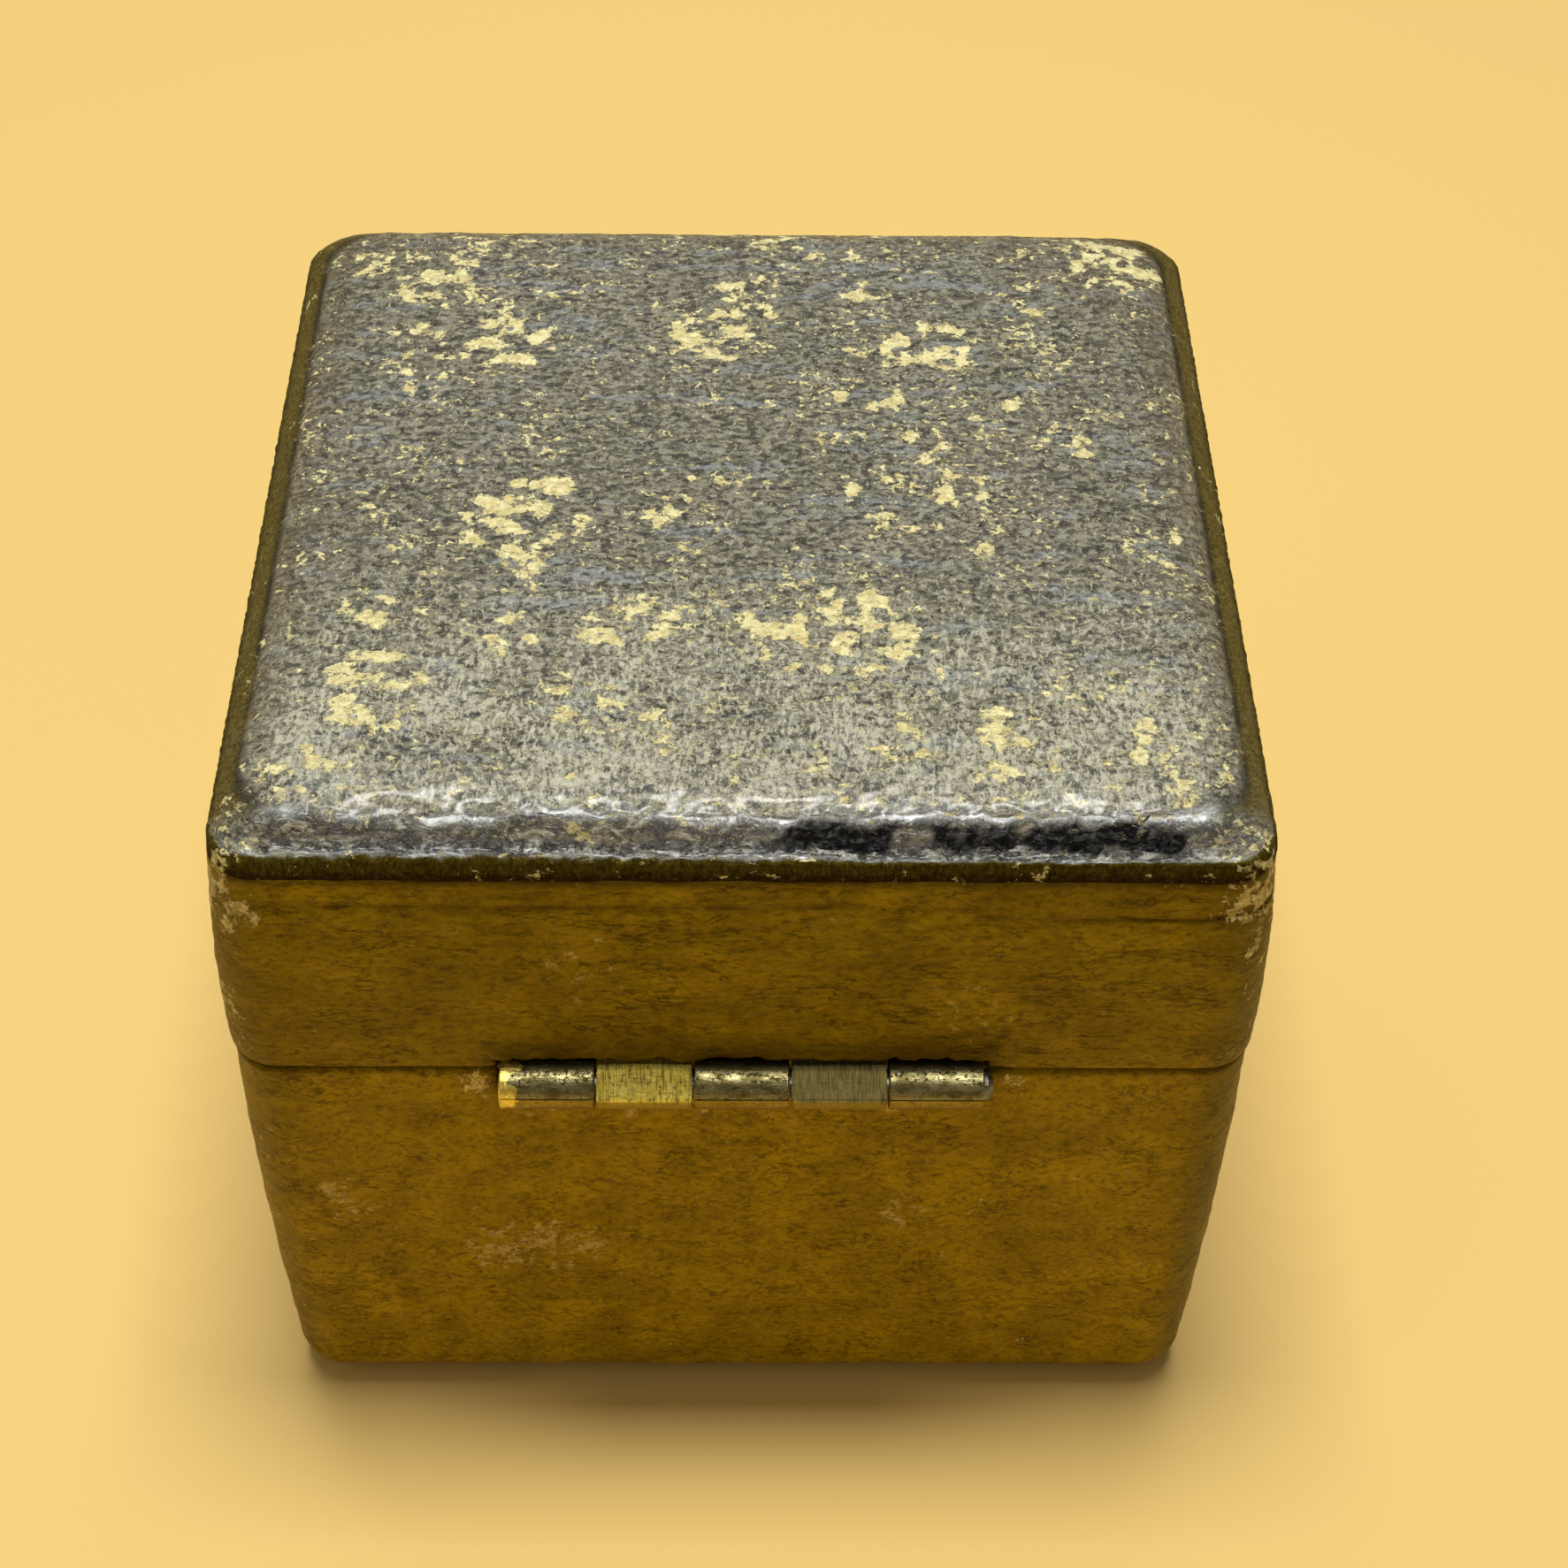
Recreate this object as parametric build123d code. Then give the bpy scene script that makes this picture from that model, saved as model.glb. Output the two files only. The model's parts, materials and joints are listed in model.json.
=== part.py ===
from build123d import *

import os

# A cake of rosin in its leather-covered hinged case, in millimetres.
#
# The origin is the centre of the underside. +Z is up, the push button is on the -Y side and the
# hinge on the +Y side. The case stands closed.

# Case, outside
CASE_WIDTH = 54.0  # both ways, at the parting line
PARTING = 29.8  # height of the parting line
PARTING_GAP = 0.25
EDGE_HEIGHT = 47.1  # top of the lid over the middle of a wall
DOME_RADIUS = 430.0  # of the crowned lid
BASE_TAPER = 0.7  # how much narrower each side is at the foot
LID_OVERHANG = 0.12  # the lid is this much prouder than the base, each side
LID_TAPER = 1.0  # how much narrower each side is at the lid's top
BASE_BOW = 0.2
LID_BOW = 0.45
CORNER_RADIUS = 2.8
FOOT_RADIUS = 2.4
LID_EDGE_RADIUS = 1.6
LID_BOARD_BEVEL = 2.0  # of the lid board's edge, under the puckered margin of the leather
LEATHER_JOINT = 43.9  # where the lid's top leather, turned down over the edge, meets the wall strip

# Layers
LEATHER = 0.7
TURNED_EDGE = 0.4  # leather turned over the edge of a wall
FOOT_PROUD = 0.2  # the case stands on its foot panel, this much below the leather
BOTTOM_BOARD_TOP = 3.7
BASE_WALL = 3.5  # wood, at the parting line
RIM_CARD = 1.0
RIM_PROUD = 3.0  # how far the inner rim stands above the parting line
RIM_EDGE = 0.3
LID_RIM_GAP = 0.5
LID_CEILING = 43.6
LINING = 0.5
LINING_LIFT = 0.6  # between the rim's top and the lining's lower edge
FOOT_PANEL_MARGIN = 0.6
FOOT_PANEL_CORNER = 1.5

# Rosin and its nest
CAKE_RADIUS = 18.0
CAKE_HEIGHT = 18.0
CAKE_DRAFT = 0.4
CAKE_EDGE = 1.5
CLOTH = 0.5
CLOTH_GAP = 0.1
CLOTH_HEIGHT = 13.2
NEST_GAP = 0.3
NEST_TOP = 26.0
NEST_DEPTH = 12.0
NEST_EDGE = 0.8
CHANNEL_RADIUS = 14.0  # of the channel that the bow wears in the cake
CHANNEL_DEPTH = 1.0
PAD_BOTTOM = 38.2
PAD_EDGE = 2.5
FITTING_GAP = 0.1  # round the nest, the pad and the foot panel

# Hinge
HINGE_LENGTH = 25.4
KNUCKLES = 5
KNUCKLE_GAP = 0.12
BARREL_RADIUS = 1.25
BARREL_CLEARANCE = 0.25
BARREL_OUT = 0.75  # the barrel's axis stands this far outside the wall
BARREL_DROP = 0.4  # and this far below the parting line
FLAT_DEPTH = 0.28  # filed off the lid's knuckles
FLAT_ANGLE = 48.0  # of the filed face, above level
KNUCKLE_CHAMFER = 0.08
SEAM_ANGLE = 12.0  # where the rolled strip of each knuckle ends, above level
SEAM_WIDTH = 0.08
HINGE_PIN_RADIUS = 0.62
RUNNING_CLEARANCE = 0.04
PIN_HEAD_RADIUS = 0.8
PIN_HEAD_LENGTH = 0.5
PIN_HEAD_CHAMFER = 0.3
PIN_HEAD_ROOM = 0.15
PLATE = 0.5  # thickness of the leaves and the catch plates
LEAF_DEPTH = 2.85

# Brads
BRAD_RADIUS = 0.4
BRAD_HEAD = 0.8
BRAD_HEAD_DEPTH = 0.4
BRAD_LENGTH = 4.5
HINGE_BRADS = (-9.0, 0.0, 9.0)
BRAD_TIP = 1.0  # length of its point
PLATE_BRADS = (-7.0, 7.0)

# Catch and push button
CATCH_LENGTH = 18.0
CATCH_DEPTH = 2.6
BUTTON_HEIGHT = 22.4
BUTTON_RADIUS = 2.1
BUTTON_PROUD = BARREL_OUT + BARREL_RADIUS  # as far as the hinge on the other side
BUTTON_TRAVEL = 0.6
BUTTON_EDGE = 0.7
BUTTON_COLLAR = 2.5
COLLAR_THICKNESS = 0.4
BUTTON_STEM = 0.9
BUTTON_STEM_GAP = 0.05
FERRULE_CLEARANCE = 0.04
FERRULE_WALL = 0.5
FERRULE_LIP = 0.45
FERRULE_PROUD = 0.3
FERRULE_EDGE = 0.2
POCKET_WIDTH = 10.0
POCKET_FRONT_WOOD = 0.6
POCKET_FLOOR = 7.0
SPRING_BEND = 12.5  # height of the line that the spring bends about
SPRING_BEND_GAP = 0.05
SPRING_WIDTH = 4.0
SPRING_FOOT_WIDTH = 8.4
SPRING_THICKNESS = 0.25
SPRING_TOP = 27.2
SPRING_FOOT_DROP = 1.2  # from the bending line down to where the foot widens
SPRING_FLOOR_GAP = 0.4
NOSE_HEIGHT = 0.4
NOSE = 0.12  # the nose's bite is left out, so that the lid also clears it with the button out
TONGUE_WIDTH = 5.0
TONGUE_THICKNESS = 0.6
TONGUE_BOTTOM = 25.9
BARB = 0.4
BARB_HEIGHT = 0.6
BARB_GAP = 0.2
SLOT_END_GAP = 0.4  # between the tongue and the ends of its slot
SLOT_FRONT_GAP = 0.35
SLOT_BACK_GAP = 0.05
PLATE_LIP = 0.3  # how far the catch plates reach in front of the pocket
SCREW_X = 2.9
SCREW_RADIUS = 0.45
SCREW_LENGTH = 1.6
SCREW_HEAD = 0.85
SCREW_HEAD_HEIGHT = 0.45
SCREW_SLOT = (0.2, 0.2)  # width and depth

# Worked out
HALF = CASE_WIDTH / 2
BASE_EDGE = PARTING - PARTING_GAP / 2
LID_EDGE = PARTING + PARTING_GAP / 2
BASE_CAVITY = HALF - LEATHER - BASE_WALL
LID_CAVITY = BASE_CAVITY + LID_RIM_GAP
LID_HALF = HALF + LID_OVERHANG
NEST_HALF = BASE_CAVITY - RIM_CARD - FITTING_GAP
NEST_FLOOR = NEST_TOP - NEST_DEPTH
AXIS_Y = HALF + BARREL_OUT
AXIS_Z = PARTING - BARREL_DROP
LEAF_BACK = AXIS_Y - BARREL_RADIUS - BARREL_CLEARANCE  # where the full-length leaf ends
LEAF_Y = LEAF_BACK - LEAF_DEPTH / 2
POCKET_Y = -(HALF - LEATHER) + POCKET_FRONT_WOOD  # front face of the catch's pocket
CATCH_Y = POCKET_Y + CATCH_DEPTH / 2 - PLATE_LIP
TONGUE_Y = POCKET_Y + COLLAR_THICKNESS + TONGUE_THICKNESS / 2
SPRING_Y = TONGUE_Y + TONGUE_THICKNESS / 2 + BARB + BARB_GAP  # front face of the spring
BEND_Y = SPRING_Y + SPRING_THICKNESS / 2
FAR = 80.0  # longer than anything here


def block(x, y, z):
    """A box from three (low, high) pairs."""
    size = (x[1] - x[0], y[1] - y[0], z[1] - z[0])
    return Pos((x[0] + x[1]) / 2, (y[0] + y[1]) / 2, (z[0] + z[1]) / 2) * Box(*size)


def square_block(half, z):
    return block((-half, half), (-half, half), z)


def rod(radius, start, end):
    """A cylinder between two points."""
    axis = Vector(*end) - Vector(*start)
    return Plane(origin=start, z_dir=axis) * Cylinder(
        radius, axis.length, align=(Align.CENTER, Align.CENTER, Align.MIN)
    )


def bowed_box(z, low_half, high_half, bow, corner):
    """A square box whose four walls are shallow upright arcs, with rounded upright corners."""
    middle = ((low_half + high_half) / 2 + bow, (z[0] + z[1]) / 2)
    outline = make_face(
        [
            Line((-low_half, z[0]), (low_half, z[0])),
            ThreePointArc((low_half, z[0]), middle, (high_half, z[1])),
            Line((high_half, z[1]), (-high_half, z[1])),
            ThreePointArc((-high_half, z[1]), (-middle[0], middle[1]), (-low_half, z[0])),
        ]
    )
    solid = extrude(Plane.XZ * outline, FAR, both=True) & extrude(Plane.YZ * outline, FAR, both=True)
    uprights = [
        edge
        for edge in solid.edges()
        if edge.bounding_box().size.Z > (z[1] - z[0]) / 2
        and abs(abs(edge.center().X) - abs(edge.center().Y)) < 0.01
    ]
    return fillet(uprights, corner)


def base_form(inset):
    """The base's outer shape, or the same shape inset by the leather."""
    z = (FOOT_PROUD + inset, BASE_EDGE)
    solid = bowed_box(z, HALF - BASE_TAPER - inset, HALF - inset, BASE_BOW, CORNER_RADIUS - inset)
    foot = solid.faces().sort_by(Axis.Z)[0].edges()
    return fillet(foot, FOOT_RADIUS - inset)


def lid_form(inset):
    """The lid's outer shape, or the same shape inset by the leather."""
    z = (LID_EDGE, EDGE_HEIGHT + 2)
    solid = bowed_box(z, LID_HALF - inset, LID_HALF - LID_TAPER - inset, LID_BOW, CORNER_RADIUS - inset)
    dome_top = EDGE_HEIGHT + HALF**2 / (2 * DOME_RADIUS)
    dome = Pos(0, 0, dome_top - DOME_RADIUS) * Sphere(DOME_RADIUS - inset)
    solid = solid & dome
    rim = solid.faces().sort_by(Axis.Z)[-1].edges()
    return fillet(rim, LID_EDGE_RADIUS - inset)


def lid_bevel():
    """Everything inside the four planes at 45 degrees that bevel the top edges of the lid's wood."""
    reach = LID_HALF - LID_TAPER + EDGE_HEIGHT - LEATHER - LID_BOARD_BEVEL  # half width plus height
    wide = 2 * LID_HALF
    outline = make_face(Polyline((-wide, reach - wide), (wide, reach - wide), (0, reach), close=True))
    return extrude(Plane.XZ * outline, FAR, both=True) & extrude(Plane.YZ * outline, FAR, both=True)


def mitred_walls(form, cavity_half, z):
    """The four walls of a form, mitred at the corners, as a dict."""
    ring = (form & block((-FAR, FAR), (-FAR, FAR), z)) - square_block(cavity_half, (z[0] - 1, z[1] + 1))
    wedge = extrude(make_face(Polyline((0, 0), (FAR, FAR), (-FAR, FAR), close=True)), FAR)
    turns = {"rear": 0, "left": 90, "front": 180, "right": 270}
    return {side: ring & (Rot(0, 0, turn) * wedge) for side, turn in turns.items()}


def brad(x, y, z, direction):
    """A countersunk brad whose head is flush at that point, driven in along direction."""
    profile = make_face(
        Polyline(
            (0, 0),
            (BRAD_HEAD, 0),
            (BRAD_RADIUS, BRAD_HEAD_DEPTH),
            (BRAD_RADIUS, BRAD_LENGTH - BRAD_TIP),
            (0, BRAD_LENGTH),
            close=True,
        )
    )
    solid = revolve(Plane.XZ * profile, Axis.Z)
    return Plane(origin=(x, y, z), z_dir=direction) * solid


def brads_in_plate(xs, y, z, direction):
    return [brad(x, y, z, direction) for x in xs]


def cut(solid, tools):
    for tool in tools:
        solid = solid - tool
    return solid


def knuckle_span(index):
    """Start and end in X of one knuckle, counted from the -X end."""
    length = (HINGE_LENGTH - (KNUCKLES - 1) * KNUCKLE_GAP) / KNUCKLES
    start = -HINGE_LENGTH / 2 + index * (length + KNUCKLE_GAP)
    return start, start + length


def hinge_leaf(indices, plate_z, bore, filed):
    """A leaf with its knuckles, and a tab from the leaf to each knuckle."""
    leaf = block((-HINGE_LENGTH / 2, HINGE_LENGTH / 2), (LEAF_BACK - LEAF_DEPTH, LEAF_BACK), plate_z)
    for index in indices:
        span = knuckle_span(index)
        barrel = rod(BARREL_RADIUS, (span[0], AXIS_Y, AXIS_Z), (span[1], AXIS_Y, AXIS_Z))
        barrel = chamfer(barrel.edges().filter_by(GeomType.CIRCLE), KNUCKLE_CHAMFER)
        seam = Pos(0, 0, BARREL_RADIUS) * Box(FAR, SEAM_WIDTH, 2 * SEAM_WIDTH)
        barrel = barrel - Pos(0, AXIS_Y, AXIS_Z) * Rot(SEAM_ANGLE - 90, 0, 0) * seam
        if filed:
            slab = Pos(0, 0, BARREL_RADIUS - FLAT_DEPTH + 1) * Box(FAR, 4, 2)
            barrel = barrel - Pos(0, AXIS_Y, AXIS_Z) * Rot(FLAT_ANGLE - 90, 0, 0) * slab
        leaf = leaf + block(span, (LEAF_BACK - 0.1, AXIS_Y), plate_z) + barrel
    return leaf - rod(bore, (-FAR, AXIS_Y, AXIS_Z), (FAR, AXIS_Y, AXIS_Z))


def hinge_pin():
    """The steel pin, flush at the +X end and peened over at the -X end."""
    half = HINGE_LENGTH / 2
    shank = rod(HINGE_PIN_RADIUS, (-half, AXIS_Y, AXIS_Z), (half, AXIS_Y, AXIS_Z))
    head = rod(PIN_HEAD_RADIUS, (-half - PIN_HEAD_LENGTH, AXIS_Y, AXIS_Z), (-half, AXIS_Y, AXIS_Z))
    head = chamfer(head.edges().group_by(Axis.X)[0], PIN_HEAD_CHAMFER)
    return shank + head


def catch_plate(plate_z):
    """The slotted plate let into the top edge of the base's front wall."""
    half = CATCH_LENGTH / 2
    depth = (CATCH_Y - CATCH_DEPTH / 2, CATCH_Y + CATCH_DEPTH / 2)
    slot_half = TONGUE_WIDTH / 2 + SLOT_END_GAP
    slot = (TONGUE_Y - TONGUE_THICKNESS / 2 - SLOT_FRONT_GAP, SPRING_Y - SLOT_BACK_GAP)
    return block((-half, half), depth, plate_z) - block((-slot_half, slot_half), slot, (0, FAR))


def lid_hook(plate_z):
    """A plate on the lid's front edge, with a barbed tongue that hangs down into the base."""
    half = CATCH_LENGTH / 2
    depth = (CATCH_Y - CATCH_DEPTH / 2, CATCH_Y + CATCH_DEPTH / 2)
    wide = (-TONGUE_WIDTH / 2, TONGUE_WIDTH / 2)
    back = TONGUE_Y + TONGUE_THICKNESS / 2
    tongue = block(wide, (back - TONGUE_THICKNESS, back), (TONGUE_BOTTOM, plate_z[1]))
    barb = Polyline(
        (back, TONGUE_BOTTOM),
        (back + BARB, TONGUE_BOTTOM + BARB_HEIGHT),
        (back, TONGUE_BOTTOM + BARB_HEIGHT),
        close=True,
    )
    barb = extrude(Plane.YZ * make_face(barb), TONGUE_WIDTH / 2, both=True)
    return block((-half, half), depth, plate_z) + tongue + barb


def catch_spring():
    """The leaf spring above its bending line, with the nose that holds the tongue's barb."""
    wide = (-SPRING_WIDTH / 2, SPRING_WIDTH / 2)
    back = SPRING_Y + SPRING_THICKNESS
    leaf = block(wide, (SPRING_Y, back), (SPRING_BEND, SPRING_TOP))
    end = rod(SPRING_THICKNESS / 2, (wide[0], BEND_Y, SPRING_BEND), (wide[1], BEND_Y, SPRING_BEND))
    return leaf + end + block(wide, (SPRING_Y - NOSE, back), (SPRING_TOP - NOSE_HEIGHT, SPRING_TOP))


def catch_spring_foot():
    """The same leaf below its bending line, which is wider and screwed to the wall."""
    back = SPRING_Y + SPRING_THICKNESS
    foot_top = SPRING_BEND - SPRING_FOOT_DROP
    neck = (-SPRING_WIDTH / 2, SPRING_WIDTH / 2)
    wide = (-SPRING_FOOT_WIDTH / 2, SPRING_FOOT_WIDTH / 2)
    foot = block(wide, (SPRING_Y, back), (POCKET_FLOOR + SPRING_FLOOR_GAP, foot_top))
    neck_top = SPRING_BEND - SPRING_THICKNESS / 2 - SPRING_BEND_GAP
    return foot + block(neck, (SPRING_Y, back), (foot_top, neck_top))


def spring_screws():
    """Two round-headed screws through the middle of the spring's foot."""
    z = (POCKET_FLOOR + SPRING_FLOOR_GAP + SPRING_BEND - SPRING_FOOT_DROP) / 2
    back = SPRING_Y + SPRING_THICKNESS
    width, depth = SCREW_SLOT
    screws = []
    for x in (-SCREW_X, SCREW_X):
        shank = rod(SCREW_RADIUS, (x, SPRING_Y - SCREW_LENGTH, z), (x, back, z))
        head = rod(SCREW_HEAD, (x, back, z), (x, back + SCREW_HEAD_HEIGHT, z))
        across = (x - SCREW_HEAD - 1, x + SCREW_HEAD + 1)
        slot = block(across, (back + SCREW_HEAD_HEIGHT - depth, back + 1), (z - width / 2, z + width / 2))
        screws.append(shank + head - slot)
    return screws


def push_button():
    """A domed head, a collar that keeps it in the ferrule, and a stem that reaches the spring."""
    z = BUTTON_HEIGHT
    front = -HALF - BUTTON_PROUD
    head = rod(BUTTON_RADIUS, (0, front, z), (0, POCKET_Y, z))
    head = fillet(head.edges().group_by(Axis.Y)[0], BUTTON_EDGE)
    collar = rod(BUTTON_COLLAR, (0, POCKET_Y, z), (0, POCKET_Y + COLLAR_THICKNESS, z))
    tip = SPRING_Y - BUTTON_STEM_GAP - BUTTON_STEM
    stem = rod(BUTTON_STEM, (0, POCKET_Y, z), (0, tip, z)) + Pos(0, tip, z) * Sphere(BUTTON_STEM)
    return head + collar + stem


def button_ferrule():
    """The flanged tube that the button slides in."""
    z = BUTTON_HEIGHT
    bore = BUTTON_RADIUS + FERRULE_CLEARANCE
    tube = rod(bore + FERRULE_WALL, (0, -HALF - FERRULE_PROUD, z), (0, POCKET_Y, z))
    lip = rod(bore + FERRULE_WALL + FERRULE_LIP, (0, -HALF - FERRULE_PROUD, z), (0, -HALF, z))
    lip = fillet(lip.edges().group_by(Axis.Y)[0], FERRULE_EDGE)
    return tube + lip - rod(bore, (0, -FAR, z), (0, 0, z))


def rosin_cake():
    """The cake, slightly conical, with the channel that the bow wears in its top."""
    bottom = NEST_FLOOR + CLOTH + CLOTH_GAP
    top = bottom + CAKE_HEIGHT
    profile = make_face(
        Polyline((0, bottom), (CAKE_RADIUS - CAKE_DRAFT, bottom), (CAKE_RADIUS, top), (0, top), close=True)
    )
    cake = revolve(Plane.XZ * profile, Axis.Z)
    cake = fillet(cake.edges().group_by(Axis.Z)[-1], CAKE_EDGE)
    lift = CHANNEL_RADIUS - CHANNEL_DEPTH
    return cake - rod(CHANNEL_RADIUS, (-FAR, 0, top + lift), (FAR, 0, top + lift))


def rosin_cloth():
    """The cloth under the cake, turned up round it."""
    inner = CAKE_RADIUS + CLOTH_GAP
    z = (NEST_FLOOR, NEST_FLOOR + CLOTH_HEIGHT)
    cup = rod(inner + CLOTH, (0, 0, z[0]), (0, 0, z[1]))
    return cup - rod(inner, (0, 0, z[0] + CLOTH), (0, 0, FAR))


def nest_ring():
    """The velvet-covered block with the round well that the cake sits in."""
    ring = square_block(NEST_HALF, (NEST_FLOOR, NEST_TOP))
    ring = ring - rod(CAKE_RADIUS + CLOTH_GAP + CLOTH + NEST_GAP, (0, 0, 0), (0, 0, FAR))
    return fillet(ring.faces().sort_by(Axis.Z)[-1].inner_wires()[0].edges(), NEST_EDGE)


def rim_strips():
    """Four strips of covered card that line the base and stand up into the lid."""
    outer = BASE_CAVITY
    inner = outer - RIM_CARD
    z = (BOTTOM_BOARD_TOP, PARTING + RIM_PROUD)
    strips = {
        "front": block((-outer, outer), (-outer, -inner), z),
        "rear": block((-outer, outer), (inner, outer), z),
        "left": block((-outer, -inner), (-inner, inner), z),
        "right": block((inner, outer), (-inner, inner), z),
    }
    return {side: fillet(strip.edges().group_by(Axis.Z)[-1], RIM_EDGE) for side, strip in strips.items()}


def lid_lining():
    """Four strips of silk-covered card on the lid's walls, above the rim."""
    outer = LID_CAVITY
    inner = outer - LINING
    z = (PARTING + RIM_PROUD + LINING_LIFT, LID_CEILING)
    return [
        block((-outer, outer), (-outer, -inner), z),
        block((-outer, outer), (inner, outer), z),
        block((-outer, -inner), (-inner, inner), z),
        block((inner, outer), (-inner, inner), z),
    ]


def lid_pad():
    half = LID_CAVITY - LINING - FITTING_GAP
    pad = square_block(half, (PAD_BOTTOM, LID_CEILING))
    return fillet(pad.edges().group_by(Axis.Z)[0] + pad.edges().filter_by(Axis.Z), PAD_EDGE)


def build():
    """Every separate piece by its node's name. A list is a group of separate solids."""
    base_plate_z = (BASE_EDGE - PLATE, BASE_EDGE)
    lid_plate_z = (LID_EDGE, LID_EDGE + PLATE)
    barrel_room = rod(
        BARREL_RADIUS + BARREL_CLEARANCE,
        (-HINGE_LENGTH / 2 - BARREL_CLEARANCE, AXIS_Y, AXIS_Z),
        (HINGE_LENGTH / 2 + BARREL_CLEARANCE, AXIS_Y, AXIS_Z),
    )
    head_room = rod(
        PIN_HEAD_RADIUS + PIN_HEAD_ROOM,
        (-HINGE_LENGTH / 2 - PIN_HEAD_LENGTH - PIN_HEAD_ROOM, AXIS_Y, AXIS_Z),
        (0, AXIS_Y, AXIS_Z),
    )

    brads = {
        "hinge_base_brads": brads_in_plate(HINGE_BRADS, LEAF_Y, BASE_EDGE, (0, 0, -1)),
        "hinge_lid_brads": brads_in_plate(HINGE_BRADS, LEAF_Y, LID_EDGE, (0, 0, 1)),
        "catch_plate_brads": brads_in_plate(PLATE_BRADS, CATCH_Y, BASE_EDGE, (0, 0, -1)),
        "lid_hook_brads": brads_in_plate(PLATE_BRADS, CATCH_Y, LID_EDGE, (0, 0, 1)),
    }
    base_leaf = cut(
        hinge_leaf((0, 2, 4), base_plate_z, HINGE_PIN_RADIUS, filed=False), brads["hinge_base_brads"]
    )
    lid_leaf = cut(
        hinge_leaf((1, 3), lid_plate_z, HINGE_PIN_RADIUS + RUNNING_CLEARANCE, filed=True),
        brads["hinge_lid_brads"],
    )
    plate = cut(catch_plate(base_plate_z), brads["catch_plate_brads"])
    hook = cut(lid_hook(lid_plate_z), brads["lid_hook_brads"])
    screws = spring_screws()
    spring_foot = cut(catch_spring_foot(), screws)
    ferrule = button_ferrule()
    tube_radius = BUTTON_RADIUS + FERRULE_CLEARANCE + FERRULE_WALL
    ferrule_hole = rod(tube_radius, (0, -FAR, BUTTON_HEIGHT), (0, POCKET_Y, BUTTON_HEIGHT))

    # Openings that the metalwork makes in the walls and in the leather over them
    leaf_x = (-HINGE_LENGTH / 2, HINGE_LENGTH / 2)
    leaf_room = block(leaf_x, (LEAF_BACK - LEAF_DEPTH, HALF + 1), (base_plate_z[0], lid_plate_z[1]))
    catch_x = (-CATCH_LENGTH / 2, CATCH_LENGTH / 2)
    catch_y = (CATCH_Y - CATCH_DEPTH / 2, CATCH_Y + CATCH_DEPTH / 2)
    catch_room = block(catch_x, catch_y, (base_plate_z[0], lid_plate_z[1]))
    pocket_x = (-POCKET_WIDTH / 2, POCKET_WIDTH / 2)
    pocket = block(pocket_x, (POCKET_Y, -BASE_CAVITY), (SPRING_BEND, base_plate_z[0]))
    step = block(pocket_x, (SPRING_Y, -BASE_CAVITY), (POCKET_FLOOR, SPRING_BEND))

    base_core = base_form(LEATHER)
    lid_core = lid_form(LEATHER) & lid_bevel()
    base_walls = mitred_walls(base_core, BASE_CAVITY, (BOTTOM_BOARD_TOP, BASE_EDGE - TURNED_EDGE))
    lid_walls = mitred_walls(lid_core, LID_CAVITY, (LID_EDGE + TURNED_EDGE, LID_CEILING))
    base_walls["front"] = cut(
        base_walls["front"],
        [catch_room, pocket, step, ferrule_hole, *brads["catch_plate_brads"], *screws],
    )
    rear_cuts = [leaf_room, barrel_room, head_room]
    base_walls["rear"] = cut(base_walls["rear"], [*rear_cuts, *brads["hinge_base_brads"]])
    lid_walls["rear"] = cut(lid_walls["rear"], [*rear_cuts, *brads["hinge_lid_brads"]])
    lid_walls["front"] = cut(lid_walls["front"], [catch_room, *brads["lid_hook_brads"]])

    base_wood = base_core & block((-FAR, FAR), (-FAR, FAR), (0, BASE_EDGE - TURNED_EDGE))
    lid_wood = lid_core & block((-FAR, FAR), (-FAR, FAR), (LID_EDGE + TURNED_EDGE, FAR))
    panel_half = HALF - BASE_TAPER - FOOT_RADIUS - FOOT_PANEL_MARGIN
    panel_top = FOOT_PROUD + LEATHER  # against the bottom board
    foot_panel = square_block(panel_half, (0, panel_top))
    foot_panel = fillet(foot_panel.edges().filter_by(Axis.Z), FOOT_PANEL_CORNER)
    panel_room = square_block(panel_half + FITTING_GAP, (0, panel_top))
    base_leather = cut(
        base_form(0),
        [
            base_wood,
            square_block(BASE_CAVITY, (BOTTOM_BOARD_TOP, FAR)),
            panel_room,
            leaf_room,
            catch_room,
            barrel_room,
            head_room,
            ferrule_hole,
        ],
    )
    lip_radius = tube_radius + FERRULE_LIP
    base_leather = base_leather - rod(lip_radius, (0, -FAR, BUTTON_HEIGHT), (0, -HALF, BUTTON_HEIGHT))
    lid_leather = cut(
        lid_form(0),
        [
            lid_wood,
            square_block(LID_CAVITY, (0, LID_CEILING)),
            leaf_room,
            catch_room,
            barrel_room,
            head_room,
        ],
    )
    bottom_board = base_core & block((-FAR, FAR), (-FAR, FAR), (0, BOTTOM_BOARD_TOP))
    lid_top_board = lid_core & block((-FAR, FAR), (-FAR, FAR), (LID_CEILING, FAR))

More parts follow.
